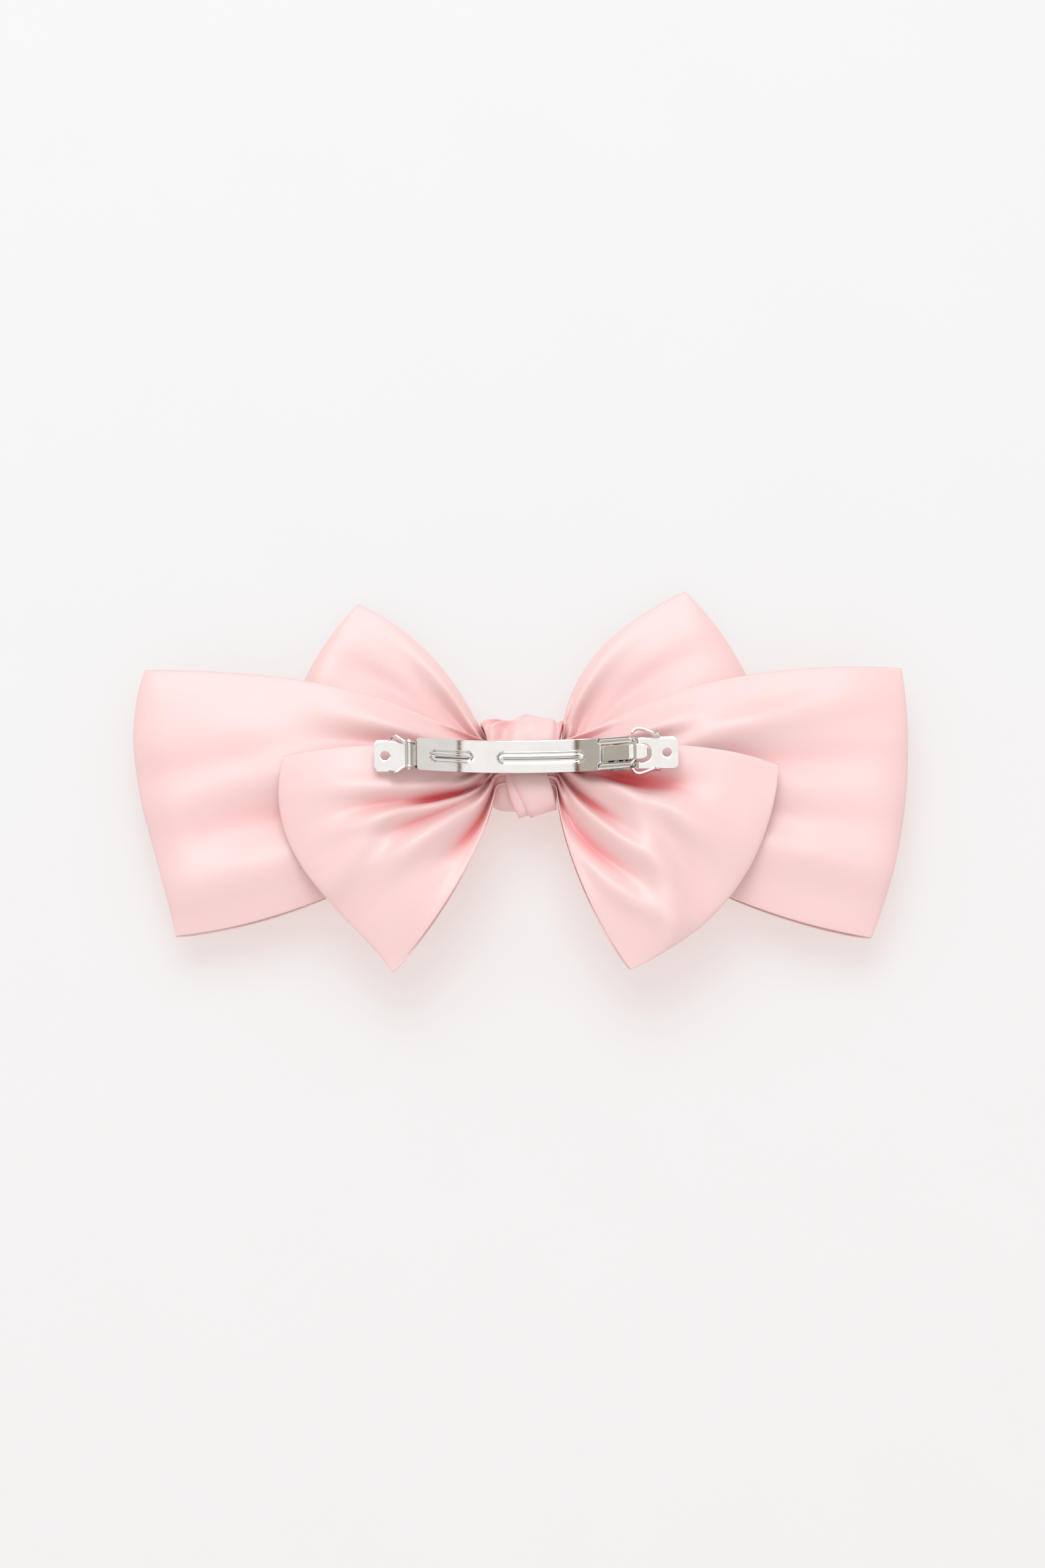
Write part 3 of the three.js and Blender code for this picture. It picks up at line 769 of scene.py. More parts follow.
def bow_ribbons() -> list[GatheredRibbon]:
    """The three ribbons of the bow, from the clasp's side to the front."""
    back = GatheredRibbon(
        name="back_bow_ribbon",
        node="back_ribbon",
        loops={
            Side.LEFT: Loop(
                upper=((-30, 3), (-48, 5), (-64.3, 1.5)),
                lower=((-11, -24), (-22, -42), (-35.7, -56.5)),
                bulge=9,
                lean=1.5,
                creases=(
                    Crease(0.34, 0.70, 0.86, 2.0, 0.08, 0.45, 1.05, -0.4),
                    Crease(0.26, 0.61, 0.74, -4.2, 0.075, 0.33, 0.90, 0.3),
                    Crease(0.22, 0.525, 0.62, 2.2, 0.045, 0.42, 1.00, 0.8),
                    Crease(0.17, 0.44, 0.54, -2.4, 0.036, 0.36, 0.80, 0.6),
                    Crease(0.15, 0.325, 0.36, 3.0, 0.085, 0.50, 1.10, 0.7),
                    Crease(0.05, 0.17, 0.23, -2.6, 0.050, 0.28, 0.62, 0.0),
                    Crease(0.00, 0.00, 0.00, 1.2, 0.05, 0.50, 1.00),
                    Crease(0.80, 0.60, 0.42, 1.3, 0.07, 0.95, 1.30),
                    Crease(0.62, 0.46, 0.30, -0.8, 0.08, 0.90, 1.25),
                ),
            ),
            Side.RIGHT: Loop(
                upper=((30, 3), (50, 4), (67, -2.3)),
                lower=((9, -24), (16, -42), (26.5, -56.5)),
                bulge=10,
                creases=(
                    Crease(0.54, 0.74, 0.84, -3.8, 0.085, 0.36, 0.80),
                    Crease(0.44, 0.60, 0.58, 2.8, 0.080, 0.50, 1.10, 0.6),
                    Crease(0.32, 0.41, 0.44, -2.6, 0.042, 0.27, 0.60, 0.4),
                    Crease(0.20, 0.32, 0.44, 2.4, 0.055, 0.40, 0.90, 0.7),
                    Crease(0.06, 0.20, 0.36, -2.2, 0.055, 0.42, 0.88),
                    Crease(0.00, 0.10, 0.26, 1.2, 0.05, 0.70, 1.05),
                    Crease(0.00, 0.00, 0.00, 1.0, 0.05, 0.40, 0.90),
                    Crease(0.90, 0.62, 0.30, -0.7, 0.07, 0.90, 1.20),
                    Crease(0.75, 0.50, 0.16, 1.4, 0.08, 0.92, 1.25),
                ),
            ),
        },
        top=Profile(((8, -12.2), (15, -9.9), (28, -4.2), (38, -1.5), (50, -1.7), (68, -4.6))),
        bottom=Profile(((8, -15.2), (15, -13.9), (28, -9.6), (38, -7.6), (50, -7.5), (68, -8.3))),
        seed=3.0,
        waist=(7.9, 6.0),
        full_shade_depth=3.6,
    )
    wide = GatheredRibbon(
        name="wide_bow_ribbon",
        node="wide_ribbon",
        loops={
            Side.LEFT: Loop(
                upper=((-32, 14), (-45, 26), (-102, 26.9)),
                lower=((-28, -22), (-50, -41), (-93.4, -45.3)),
                bulge=5.5,
                lean=1.6,
                creases=(
                    Crease(0.70, 0.84, 0.90, 2.2, 0.09, 0.25, 0.75),
                    Crease(0.60, 0.74, 0.72, -2.6, 0.08, 0.28, 0.75),
                    Crease(0.55, 0.62, 0.52, 1.8, 0.09, 0.45, 1.15),
                    Crease(0.40, 0.42, 0.36, -1.9, 0.12, 0.72, 1.15),
                    Crease(0.90, 0.70, 0.60, -1.2, 0.09, 0.95, 1.40),
                    Crease(0.30, 0.25, 0.16, 1.4, 0.10, 0.90, 1.40),
                ),
            ),
            Side.RIGHT: Loop(
                upper=((32, 14), (45, 27.5), (101, 24.9)),
                lower=((26, -22), (50, -41), (90.7, -48)),
                bulge=5,
                creases=(
                    Crease(0.70, 0.82, 0.88, 2.4, 0.08, 0.25, 0.70),
                    Crease(0.60, 0.72, 0.72, -2.8, 0.07, 0.28, 0.75),
                    Crease(0.55, 0.70, 0.92, 2.0, 0.07, 0.62, 1.10, 0.5),
                    Crease(0.50, 0.58, 0.66, -1.6, 0.08, 0.70, 1.20),
                    Crease(0.45, 0.40, 0.36, -1.7, 0.10, 0.66, 1.05),
                    Crease(0.30, 0.30, 0.24, 1.5, 0.10, 0.88, 1.35),
                ),
            ),
        },
        top=Profile(
            ((8, -15.5), (15, -14.2), (28, -9.9), (38, -7.9), (50, -7.8), (68, -8.6), (106, -10.5))
        ),
        bottom=Profile(((8, -18.5), (15, -18.3), (28, -17.5), (40, -17), (68, -17.3), (106, -18))),
        seed=9.0,
        fold_from=0.94,
    )
    front = GatheredRibbon(
        name="front_bow_ribbon",
        node="front_ribbon",
        loops={
            Side.LEFT: Loop(
                upper=((-15, 18), (-24, 36), (-45, 46)),
                lower=((-28, -6), (-48, -10), (-66, -13)),
                bulge=7,
                creases=(
                    Crease(0.75, 0.80, 0.84, -1.3, 0.07, 0.32, 0.80),
                    Crease(0.85, 0.93, 0.95, 1.4, 0.06, 0.45, 0.95),
                    Crease(0.55, 0.68, 0.72, -1.3, 0.08, 0.60, 1.10),
                    Crease(0.40, 0.50, 0.52, 2.2, 0.09, 0.36, 0.95, 0.5),
                ),
            ),
            Side.RIGHT: Loop(
                upper=((9.5, 18), (15, 35.5), (43.8, 48.4)),
                lower=((28, -6), (48, -10), (66, -12)),
                bulge=7,
                creases=(
                    Crease(0.75, 0.80, 0.84, -1.3, 0.07, 0.32, 0.80),
                    Crease(0.85, 0.93, 0.95, 1.4, 0.06, 0.45, 0.95),
                    Crease(0.55, 0.68, 0.72, -1.3, 0.08, 0.60, 1.10),
                    Crease(0.40, 0.50, 0.52, 2.2, 0.09, 0.36, 0.95, 0.5),
                ),
            ),
        },
        top=Profile(((8, -18.8), (15, -18.6), (28, -17.8), (40, -17.3), (68, -17.6))),
        bottom=Profile(((8, -21.8), (15, -23.2), (30, -26.5), (46, -26.5), (68, -24.5))),
        seed=17.0,
        waist=(9.8, 6.0),
        pleat_height=2.6,
    )
    return [back, wide, front]


# ---------------------------------------------------------------- the knot


@dataclass(frozen=True)
class KnotFold:
    """A soft ridge, or a valley where its rise is negative, that runs round the knot.

    It lies at a distance x along the clasp, and leans from there by drift as it goes round.
    """

    x: float
    drift: float
    turn: float
    rise: float
    width: float

    def lift(self, x: float, t: float) -> float:
        """How far it lifts the cloth at x and a share t of the way round."""
        line = self.x + self.drift * math.sin(2 * math.pi * (t - self.turn))
        return self.rise * bump(x - line, self.width)


@dataclass
class Knot:
    """The ribbon wrapped round the waist, with its edges tucked under, and its two folded ends.

    round_share is the way round its outline as a share of the way round a box of the same size.
    """

    left: float = -9.0
    right: float = 8.0
    half_depth: float = 12.1
    middle_y: float = 0.6
    back: float = -10.9
    front: float = -26.3
    squareness: float = 3.3
    flare: Point = (3.2, 2.3)
    tuck: float = 3.6
    table: float = -26.2
    cloth: float = 0.4
    least_creased: float = 0.15
    # Painted shade: a valley this deep takes the full fold pink, and the tucked edges take this share of
    # it.
    full_shade_depth: float = 3.0
    tucked_shade: float = 0.6
    ripple_size: float = 6.0
    ripple_height: float = 0.5
    round_share: float = 0.93
    columns: int = 150
    rows: int = 56
    folds: tuple[KnotFold, ...] = (
        KnotFold(-6.3, -10.0, 0.07, -1.5, 1.1),
        KnotFold(-7.2, -12.0, 0.105, 1.0, 1.3),
        KnotFold(-5.7, -3.0, 0.175, -1.1, 2.4),
        KnotFold(1.9, 1.0, 0.175, 0.8, 2.8),
        KnotFold(8.6, 0.0, 0.0, -1.6, 0.9),
    )

    def rim(self, t: float, inset: float) -> Point:
        """A point of the knot's outline, seen along the clasp, a share t of the way round."""
        angle = 2 * math.pi * t
        power = 2 / self.squareness
        half_height = (self.back - self.front) / 2
        y = math.copysign(abs(math.cos(angle)) ** power, math.cos(angle)) * (self.half_depth - inset)
        z = math.copysign(abs(math.sin(angle)) ** power, math.sin(angle)) * (half_height - inset)
        return self.middle_y + y, (self.back + self.front) / 2 + z

    @staticmethod
    def upward(t: float) -> float:
        """How near the upper edge a share t of the way round is: 1 on it, and 0 on the lower edge."""
        return 0.5 + 0.5 * math.cos(2 * math.pi * t)

    def creased(self, t: float) -> float:
        """The share of their full height that the folds keep, a share t of the way round."""
        return mix(self.least_creased, 1.0, self.upward(t))

    def place(self, t: float, v: float) -> Vector:
        """A point of the wrap: v runs from one tucked edge, over the outside, to the other."""
        swell = self.upward(t) ** 2
        left = self.left - self.flare[0] * swell
        outside = self.right + self.flare[1] * swell - left
        total = outside + 2 * self.tuck
        run = v * total - self.tuck
        beyond = max(-run, run - outside, 0.0)
        x = left + min(max(run, 0.0), outside)
        toward = 1 if x < 0 else -1
        x += toward * beyond * 0.8
        edge = min(run, outside - run)
        inset = 1.5 * (1 - ease((edge + 1.6) / 4.0)) + beyond * 0.35
        lift = sum(fold.lift(x, t) for fold in self.folds) * ease((edge + 0.5) / 2.5)
        turn = 2 * math.pi * t
        wrinkle = Vector((x / self.ripple_size, math.cos(turn) * 2, math.sin(turn) * 2))
        lift += noise.noise(wrinkle) * self.ripple_height
        lift *= self.creased(t)
        y, z = self.rim(t, inset - lift)
        return Vector((x, y, max(z, self.table)))

    def depth(self, t: float, v: float) -> float:
        """How much painted shade the wrap takes, from 0 to 1: in its valleys and where its edges tuck
        under.
        """
        x = mix(self.left - self.tuck, self.right + self.tuck, v)
        lift = sum(fold.lift(x, t) for fold in self.folds)
        lift *= self.creased(t)
        tucked = 1 - ease(min(v, 1 - v) / 0.17)
        return min(1.0, max(0.0, -lift / self.full_shade_depth) + self.tucked_shade * tucked)

    def build(self, bench: Bench, satin: bpy.types.Material, folded: bpy.types.Material) -> None:
        """Makes the wrap in satin, and both ends in the same satin without a woven edge."""
        length = 2 * (2 * self.half_depth + self.back - self.front) * self.round_share
        width = self.right - self.left + 2 * self.tuck
        wrap = grid(self.columns, self.rows, self.place, (length, width), self.depth)
        bmesh.ops.remove_doubles(wrap, verts=wrap.verts[:], dist=0.001)
        bmesh.ops.recalc_face_normals(wrap, faces=wrap.faces[:])
        piece = bench.piece("knot_wrap", wrap, "bow_and_base", "satin", satin, ["knot_band"])
        drape(piece, self.cloth)
        left = Pleat(
            name="knot_end_left",
            node="knot_tail_left",
            left=(-5.6, -4.9, -1.9),
            right=(1.5, 2.5, 0.3),
            reach=(15.0, 14.2),
            above=0.15,
        )
        right = Pleat(
            name="knot_end_right",
            node="knot_tail_right",
            left=(-5.0, -2.6, 1.0),
            right=(5.2, 6.8, 8.0),
            reach=(15.0, 12.8),
            above=0.6,
        )
        for end in (left, right):
            self._end(bench, folded, end)

    def _end(self, bench: Bench, satin: bpy.types.Material, end: "Pleat") -> None:
        """Makes one end: a pleat that lies on the back of the knot and reaches over its lower edge.

        Args:
            bench: Where pieces are made.
            satin: The ribbon's finish.
            end: The pleat's name and shape.
        """
        # painted shade: a quarter of the fold pink along the pleat's left long edge
        sheet = grid(40, 24, end.place, (20.0, 10.0), lambda along, across: 0.25 * bump(across, 0.12))
        bmesh.ops.recalc_face_normals(sheet, faces=sheet.faces[:])
        piece = bench.piece(end.name, sheet, "bow_and_base", "satin", satin, [end.node])
        drape(piece, self.cloth)


@dataclass(frozen=True)
class Pleat:
    """A folded end of the knot's ribbon.

    left and right give x along each long edge, where it comes from under the clasp, halfway and at its
    tip; reach gives how far each edge comes down, and above how far the pleat lies above the wrap.
    """

    name: str
    node: str
    left: Triple
    right: Triple
    reach: Point
    above: float
    start_y: float = -1.6
    back: float = -10.75
    drop: float = 3.4
    puff: Point = (0.15, 0.45)
    tip_roll: float = 0.9

    def place(self, along: float, across: float) -> Vector:
        """A point of the pleat, a share along it from under the clasp and across it."""
        a, b, c = (mix(p, q, across) for p, q in zip(self.left, self.right))
        x = bent(a, b, c, along)
        reach = mix(*self.reach, across)
        y = mix(self.start_y, -reach, along)
        least, more = self.puff
        puff = (least + more * ease(along / 0.4)) * math.sin(math.pi * across) ** 0.4
        rounded = self.drop * ease((along - 0.55) / 0.75) * along
        z = self.back + puff + self.above * ease(along / 0.3) - rounded
        tip_roll = self.tip_roll * bump(1 - along, 0.06)
        return Vector((x, y + tip_roll * 0.25, z - tip_roll))


# ---------------------------------------------------------------- the clasp


def bowed(x: float, radius: float) -> float:
    """The rise of a round bow above its lowest point."""
    return radius - math.sqrt(radius * radius - x * x)


def spaced(marks: Sequence[float], step: float) -> list[float]:
    """Stations no further apart than step that include every mark."""
    stations = [marks[0]]
    for a, b in zip(marks, marks[1:]):
        count = max(1, math.ceil((b - a) / step))
        stations += [mix(a, b, i / count) for i in range(1, count + 1)]
    return stations


@dataclass
class MetalStrip:
    """Stamped metal that follows a line in x and z, made as a grid so that it can be pressed and cut.

    line gives the points of its upper face, half its half width at each, and press how far the metal is
    pushed out along its normal at a station's x and a place y across it.
    """

    line: list[Vector]
    half: list[float]
    columns: list[float]
    thickness: float
    press: Callable[[float, float], float] = lambda x, y: 0.0
    keep: Callable[[float, float], bool] = lambda x, y: True

    def shape(self) -> bmesh.types.BMesh:
        """The solid strip."""
        last, widest = len(self.line) - 1, self.columns[-1]

        def place(along: float, across: float) -> Vector:
            """A point of the upper face."""
            i = round(along * last)
            j = round(across * (len(self.columns) - 1))
            a, b = self.line[max(i - 1, 0)], self.line[min(i + 1, last)]
            tangent = (b - a).normalized()
            y = self.columns[j] * self.half[i] / widest
            push = self.press(self.line[i].x, y)
            return Vector((self.line[i].x - tangent.y * push, y, self.line[i].y + tangent.x * push))

        sheet = grid(last, len(self.columns) - 1, place)
        cut = [face for face in sheet.faces if not self.keep(*face.calc_center_median().xy)]
        bmesh.ops.delete(sheet, geom=cut, context="FACES")
        sheet.normal_update()
        if sum(face.normal.z for face in sheet.faces) < 0:
            bmesh.ops.reverse_faces(sheet, faces=sheet.faces[:])
        thicken(sheet, self.thickness)
        return sheet


@dataclass
class MetalWall:
    """A thin standing wall: it follows a curve in plan, between two heights that change along it."""

    plan: list[Vector]
    low: Callable[[float], float]
    high: Callable[[float], float]
    thickness: float
    rows: int = 8

    def shape(self) -> bmesh.types.BMesh:
        """The solid wall."""
        last = len(self.plan) - 1

        def place(along: float, across: float) -> Vector:
            """A point of the wall's middle."""
            point = self.plan[round(along * last)]
            return Vector((point.x, point.y, mix(self.low(along), self.high(along), across)))

        sheet = grid(last, self.rows, place)
        sheet.normal_update()
        for vert in sheet.verts:
            vert.co += vert.normal * self.thickness / 2
        thicken(sheet, self.thickness)
        return sheet


@dataclass
class Clasp:
    """The sprung clasp: base plate, hinged arm, tension strip, pin and the two wings of the catch."""

    length: float = 80.0
    tab_half: float = 4.2
    tab_corner: float = 1.3
    hole_at: float = 37.1
    hole_radius: float = 1.25
    bow_radius: float = 44.4
    bow_half: float = 25.5
    blend: float = 5.6
    bar_half: float = 3.0
    hinge_half: float = 3.45
    pin: Point = (-30.7, 2.1)
    pin_radius: float = 0.5
    pin_length: float = 8.2
    arm_from: float = -28.5
    arm_tip: float = 31.6
    arm_half: float = 4.3
    arm_thickness: float = 0.5
    arm_radius: float = 65.7
    arm_centre: float = 1.0
    arm_middle: float = -3.4
    shoulder: float = 28.6
    nose_half: float = 1.95
    eye_half: float = 2.8
    fork: Point = (19.6, 28.0)
    tongue_half: float = 2.0
    slit: float = 0.4
    mouth: float = 0.9
    tongue_rise: float = 0.5
    prong_rise: float = 0.35
    nose_drop: float = 1.3
    arm_corner: float = 0.9
    channels: tuple[Point, ...] = ((-25.1, -13.9), (-7.6, 15.5))
    channel_y: float = -0.25
    channel_half: float = 1.7
    channel_depth: float = 0.85
    rib_height: float = 0.5
    to_hinge: Point = (-35.2, 3.2)
    to_bar: Point = (-28.4, 2.4)
    to_tab: Point = (19.0, 4.5)
    well: Triple = (30.7, 4.6, 5.0)
    well_corner: float = 2.0
    ear_plan: tuple[Point, ...] = (
        (-36.2, 3.95),
        (-35.4, 4.35),
        (-34.2, 4.8),
        (-33.0, 4.1),
        (-31.6, 3.3),
        (-29.1, 3.25),
    )
    ear_crown: float = 1.62
    ear_top: float = 3.72
    wing_plan: tuple[Point, ...] = (
        (35.4, 4.65),
        (33.8, 4.65),
        (32.4, 5.2),
        (30.2, 5.95),
        (28.7, 5.8),
        (27.8, 4.75),
    )
    wall: float = 0.5
    strip_half_length: float = 23.6
    strip_half: float = 2.5
    strip_radius: float = 100.0
    strip_middle: float = -4.5
    strip_thickness: float = 0.3

    def base_top(self, x: float) -> float:
        """The height of the base plate's upper face."""
        slope = self.bow_half / math.sqrt(self.bow_radius**2 - self.bow_half**2)
        middle = TAB_THICKNESS - bowed(self.bow_half, self.bow_radius) - slope * self.blend / 2
        beyond = abs(x) - self.bow_half
        if beyond <= 0:
            return middle + bowed(x, self.bow_radius)
        left = max(self.blend - beyond, 0.0)
        return TAB_THICKNESS - slope / 2 * left * left / self.blend

    def base_half(self, x: float) -> float:
        """The base plate's half width."""
        end = self.length / 2
        corner = abs(x) - (end - self.tab_corner)
        if corner > 0:
            drop = self.tab_corner - math.sqrt(max(self.tab_corner**2 - corner**2, 0.0))
            return self.tab_half - drop
        if x < 0:
            half = mix(self.tab_half, self.hinge_half, self._turned(self.to_hinge, x))
            return mix(half, self.bar_half, self._turned(self.to_bar, x))
        return mix(self.bar_half, self.tab_half, self._turned(self.to_tab, x))

    @staticmethod
    def _turned(change: Point, x: float) -> float:
        """The share of a change of width that is past at x; change gives where it starts and its length."""
        start, length = change
        return ease((x - start) / length)

    def arm_top(self, x: float) -> float:
        """The height of the arm's upper face, without what is pressed into it."""
        return self.arm_middle + bowed(x - self.arm_centre, self.arm_radius)

    def channel(self, x: float, y: float) -> float:
        """The push of the channels pressed into the arm, each with a low rib along its floor."""
        push = 0.0
        for start, end in self.channels:
            nearest = min(max(x, start + self.channel_half), end - self.channel_half)
            away = math.hypot(x - nearest, y - self.channel_y)
            inside = 1 - ease((away - self.channel_half + 0.55) / 0.55)
            rib = self.rib_height * bump(y - self.channel_y, 0.42) * ease(min(x - start, end - x) / 1.6)
            push += inside * (-self.channel_depth + rib)
        return push

    def arm_press(self, x: float, y: float) -> float:
        """How far the arm's metal is pushed out."""
        start, end = self.fork
        push = self.channel(x, y)
        if start < x < end + 0.4 and abs(y) < self.tongue_half + 0.05:
            push += self.tongue_rise * ease((x - start) / 0.6) * ease((end + 0.4 - x) / 1.4)
        if start - 1.2 < x < end + 1.0 and abs(y) > self.tongue_half + self.slit - 0.05:
            middle = (self.tongue_half + self.slit + self.arm_half) / 2
            reach = ease((x - start + 1.2) / 1.4) * ease((end + 1.0 - x) / 1.6)
            push += self.prong_rise * reach * max(0.0, 1 - ((abs(y) - middle) / 1.05) ** 2)
        if x > end + 0.4:
            push -= self.nose_drop * ease((x - end - 0.4) / 3.4)
        return push

    def arm_half_at(self, x: float) -> float:
        """The arm's half width."""
        tip = self.arm_tip - self.nose_half
        if x > tip:
            return max(math.sqrt(max(self.nose_half**2 - (x - tip) ** 2, 0.0)), 0.12)
        near = mix(self.arm_half, self.nose_half, ease((x - self.shoulder + 1.9) / 2.1))
        corner = self.arm_from + self.arm_corner - x
        if corner > 0:
            near -= self.arm_corner - math.sqrt(max(self.arm_corner**2 - corner**2, 0.0))
        return near

    def arm_cut(self, x: float, y: float) -> bool:
        """True where the arm's metal is kept, and not cut away for the fork."""
        start, end = self.fork
        inner, outer = self.tongue_half, self.tongue_half + self.slit
        slit = start < x < end and inner < abs(y) < outer
        mouth = start < x < start + self.mouth and abs(y) < outer
        return not (slit or mouth)

    def eye_line(self) -> tuple[list[Vector], list[float]]:
        """The curl round the pin that leads into the arm, as points and half widths."""
        radius = self.pin_radius + 0.06 + self.arm_thickness
        x0, z0 = self.pin
        curl = []
        for i in range(25):
            angle = math.radians(mix(395, 78, i / 24))
            curl.append(Vector((x0 + radius * math.cos(angle), z0 + radius * math.sin(angle))))
        neck = [Vector(p) for p in ((-29.75, 2.55), (-29.3, 2.0), (-28.95, 1.35))]
        line = curl + neck
        return line, [self.eye_half] * len(line)

    def build(self, bench: Bench, nickel: bpy.types.Material) -> None:
        """Makes every piece of the clasp."""
        self._base(bench, nickel)
        self._arm(bench, nickel)
        self._strip(bench, nickel)
        self._pin(bench, nickel)
        for side, sign in (("upper", 1), ("lower", -1)):
            name, node, body = f"catch_spring_{side}", f"catch_wing_{side}", f"wing_{side}"
            self._wing(bench, nickel, name, node, body, sign)

    @staticmethod
    def _deburr(piece: bpy.types.Object, width: float = 0.09) -> None:
        """Rounds a metal piece's edges and shades it smooth."""
        edge = piece.modifiers.new("rolled edge", "BEVEL")
        edge.width = width * MM
        edge.segments = 2
        edge.limit_method = "ANGLE"
        edge.angle_limit = math.radians(50)
        Bench.settle(piece)
        Bench.smooth(piece, 40)

    def _base(self, bench: Bench, nickel: bpy.types.Material) -> None:
        """The stamped plate with its tabs, ears and holes."""
        end = self.length / 2
        marks = [-end, -end + 0.08, -end + 0.3, -end + self.tab_corner]
        marks += [self.to_hinge[0], self.to_bar[0], self.to_tab[0], sum(self.to_tab)]
        marks += [end - self.tab_corner, end - 0.3, end - 0.08, end]
        stations = spaced(marks, 0.7)
        plate = MetalStrip(
            line=[Vector((x, self.base_top(x))) for x in stations],
            half=[self.base_half(x) for x in stations],
            columns=[mix(-1, 1, i / 14) for i in range(15)],
            thickness=TAB_THICKNESS,
        ).shape()
        piece = bench.piece("clasp_base", plate, "bow_and_base", "nickel", nickel, ["base_plate"])
        for x in (-self.hole_at, self.hole_at):
            drill = bmesh.new()
            r = self.hole_radius
            bmesh.ops.create_cone(drill, cap_ends=True, segments=40, radius1=r, radius2=r, depth=6)
            bmesh.ops.translate(drill, verts=drill.verts[:], vec=(x, 0, 0))
            self._cut(bench, piece, drill)
        well = bmesh.new()
        well_x, well_length, well_width = self.well
        size = Matrix.Diagonal((well_length, well_width, 9, 1))
        bmesh.ops.create_cube(well, size=1, matrix=Matrix.Translation((well_x, 0, 0)) @ size)
        upright = [e for e in well.edges if abs(e.verts[0].co.z - e.verts[1].co.z) > 1]
        round_off(well, upright, self.well_corner, 8)
        self._cut(bench, piece, well)
        self._deburr(piece)
        for name, sign in (("hinge_ear_upper", 1), ("hinge_ear_lower", -1)):
            self._ear(bench, nickel, name, sign)

    @staticmethod
    def _cut(bench: Bench, piece: bpy.types.Object, tool: bmesh.types.BMesh) -> None:
        """Cuts a tool's shape out of a piece."""
        mesh = bpy.data.meshes.new("tool")
        tool.to_mesh(mesh)
        tool.free()
        mesh.transform(bench.to_row)
        cutter = bpy.data.objects.new("tool", mesh)
        bpy.context.scene.collection.objects.link(cutter)
        cut = piece.modifiers.new("cut", "BOOLEAN")
        cut.operation = "DIFFERENCE"
        cut.solver = "EXACT"
        cut.object = cutter
        bpy.context.view_layer.update()
        Bench.settle(piece)
        bpy.data.objects.remove(cutter)

    def _ear(self, bench: Bench, nickel: bpy.types.Material, name: str, sign: int) -> None:
        """One ear of the hinge, folded up from the edge of the plate."""
        steps = 48
        plan = through([(x, sign * y) for x, y in self.ear_plan], steps)

        def high(t: float) -> float:
            """The height of the ear's crown."""
            x = plan[round(t * steps)].x
            beside = min(max(x - self.pin[0], -1.0), 1.6)
            crown = self.pin[1] + math.sqrt(max(self.ear_crown**2 - beside**2, 0.04))
            return mix(TAB_THICKNESS + 0.1, min(crown, self.ear_top), ease((x + 36.3) / 2.2))

        wall = MetalWall(plan, lambda t: 0.05, high, self.wall).shape()
        piece = bench.piece(name, wall, "bow_and_base", "nickel", nickel)
        self._deburr(piece)

    def _arm(self, bench: Bench, nickel: bpy.types.Material) -> None:
        """The bowed arm with its eye, channels, fork and nose."""
        curl, curl_half = self.eye_line()
        start, end = self.fork
        tip = self.arm_tip
        marks = [self.arm_from, self.arm_from + 0.1, self.arm_from + 0.3, start, start + self.mouth]
        marks += [end, tip - self.nose_half, tip - 0.5, tip - 0.15, tip - 0.04, tip]
        stations = spaced(marks, 0.38)
        inner, outer = self.tongue_half, self.tongue_half + self.slit
        half = spaced([0, inner, outer, self.arm_half], 0.26)
        columns = [-y for y in reversed(half[1:])] + half
        arm = MetalStrip(
            line=curl + [Vector((x, self.arm_top(x))) for x in stations],
            half=curl_half + [self.arm_half_at(x) for x in stations],
            columns=columns,
            thickness=self.arm_thickness,
            press=self.arm_press,
            keep=self.arm_cut,
        ).shape()
        piece = bench.piece("sprung_arm", arm, "arm", "nickel", nickel, ["clasp_arm"])
        self._deburr(piece, 0.07)

    def _strip(self, bench: Bench, nickel: bpy.types.Material) -> None:
        """The thin tension strip under the arm."""
        end = self.strip_half_length
        stations = spaced([-end, -end + 1, end - 1, end], 0.7)

        def half(x: float) -> float:
            """Its half width, rounded at the ends."""
            corner = abs(x) - end + 1
            return self.strip_half - (1 - math.sqrt(max(1 - max(corner, 0.0) ** 2, 0.0))) * 0.95

        strip = MetalStrip(
            line=[Vector((x, self.strip_middle + bowed(x, self.strip_radius))) for x in stations],
            half=[half(x) for x in stations],
            columns=[mix(-1, 1, i / 8) for i in range(9)],
            thickness=self.strip_thickness,
        ).shape()
        piece = bench.piece("bow_spring", strip, "strip", "nickel", nickel, ["tension_strip"])
        self._deburr(piece, 0.06)

    def _pin(self, bench: Bench, nickel: bpy.types.Material) -> None:
        """The rivet that the arm turns on."""
        pin = bmesh.new()
        middle = Matrix.Translation((self.pin[0], 0, self.pin[1]))
        bmesh.ops.create_cone(
            pin,
            cap_ends=True,
            segments=32,
            radius1=self.pin_radius,
            radius2=self.pin_radius,
            depth=self.pin_length,
            matrix=middle @ Matrix.Rotation(math.pi / 2, 4, "X"),
        )
        rims = [e for e in pin.edges if abs(e.verts[0].co.y - e.verts[1].co.y) < 0.01]
        round_off(pin, rims, 0.18, 3)
        piece = bench.piece("hinge_rivet", pin, "bow_and_base", "nickel", nickel, ["hinge_pin"])
        Bench.smooth(piece, 50)

    def _wing(
        self, bench: Bench, nickel: bpy.types.Material, name: str, node: str, body: str, sign: int
    ) -> None:
        """One sprung wing of the catch: a foot beside the tab, and a wall that bulges and hooks back in.

        Args:
            bench: Where pieces are made.
            nickel: The metal's finish.
            name: The wing's name.
            node: The CAD node that it stands for.
            body: The body that it rides on.
            sign: Which side of the clasp it stands on, 1 or -1.
        """
        steps = 40
        plan = through([(x, sign * y) for x, y in self.wing_plan], steps)

        def low(t: float) -> float:
            """The wall's lower edge: down to the plate at the foot, and clear of it beyond."""
            return mix(0.05, 1.6, ease((33.9 - plan[round(t * steps)].x) / 1.2))

        def high(t: float) -> float:
            """The wall's upper edge."""
            return mix(2.6, 4.0, ease((35.6 - plan[round(t * steps)].x) / 2.2))

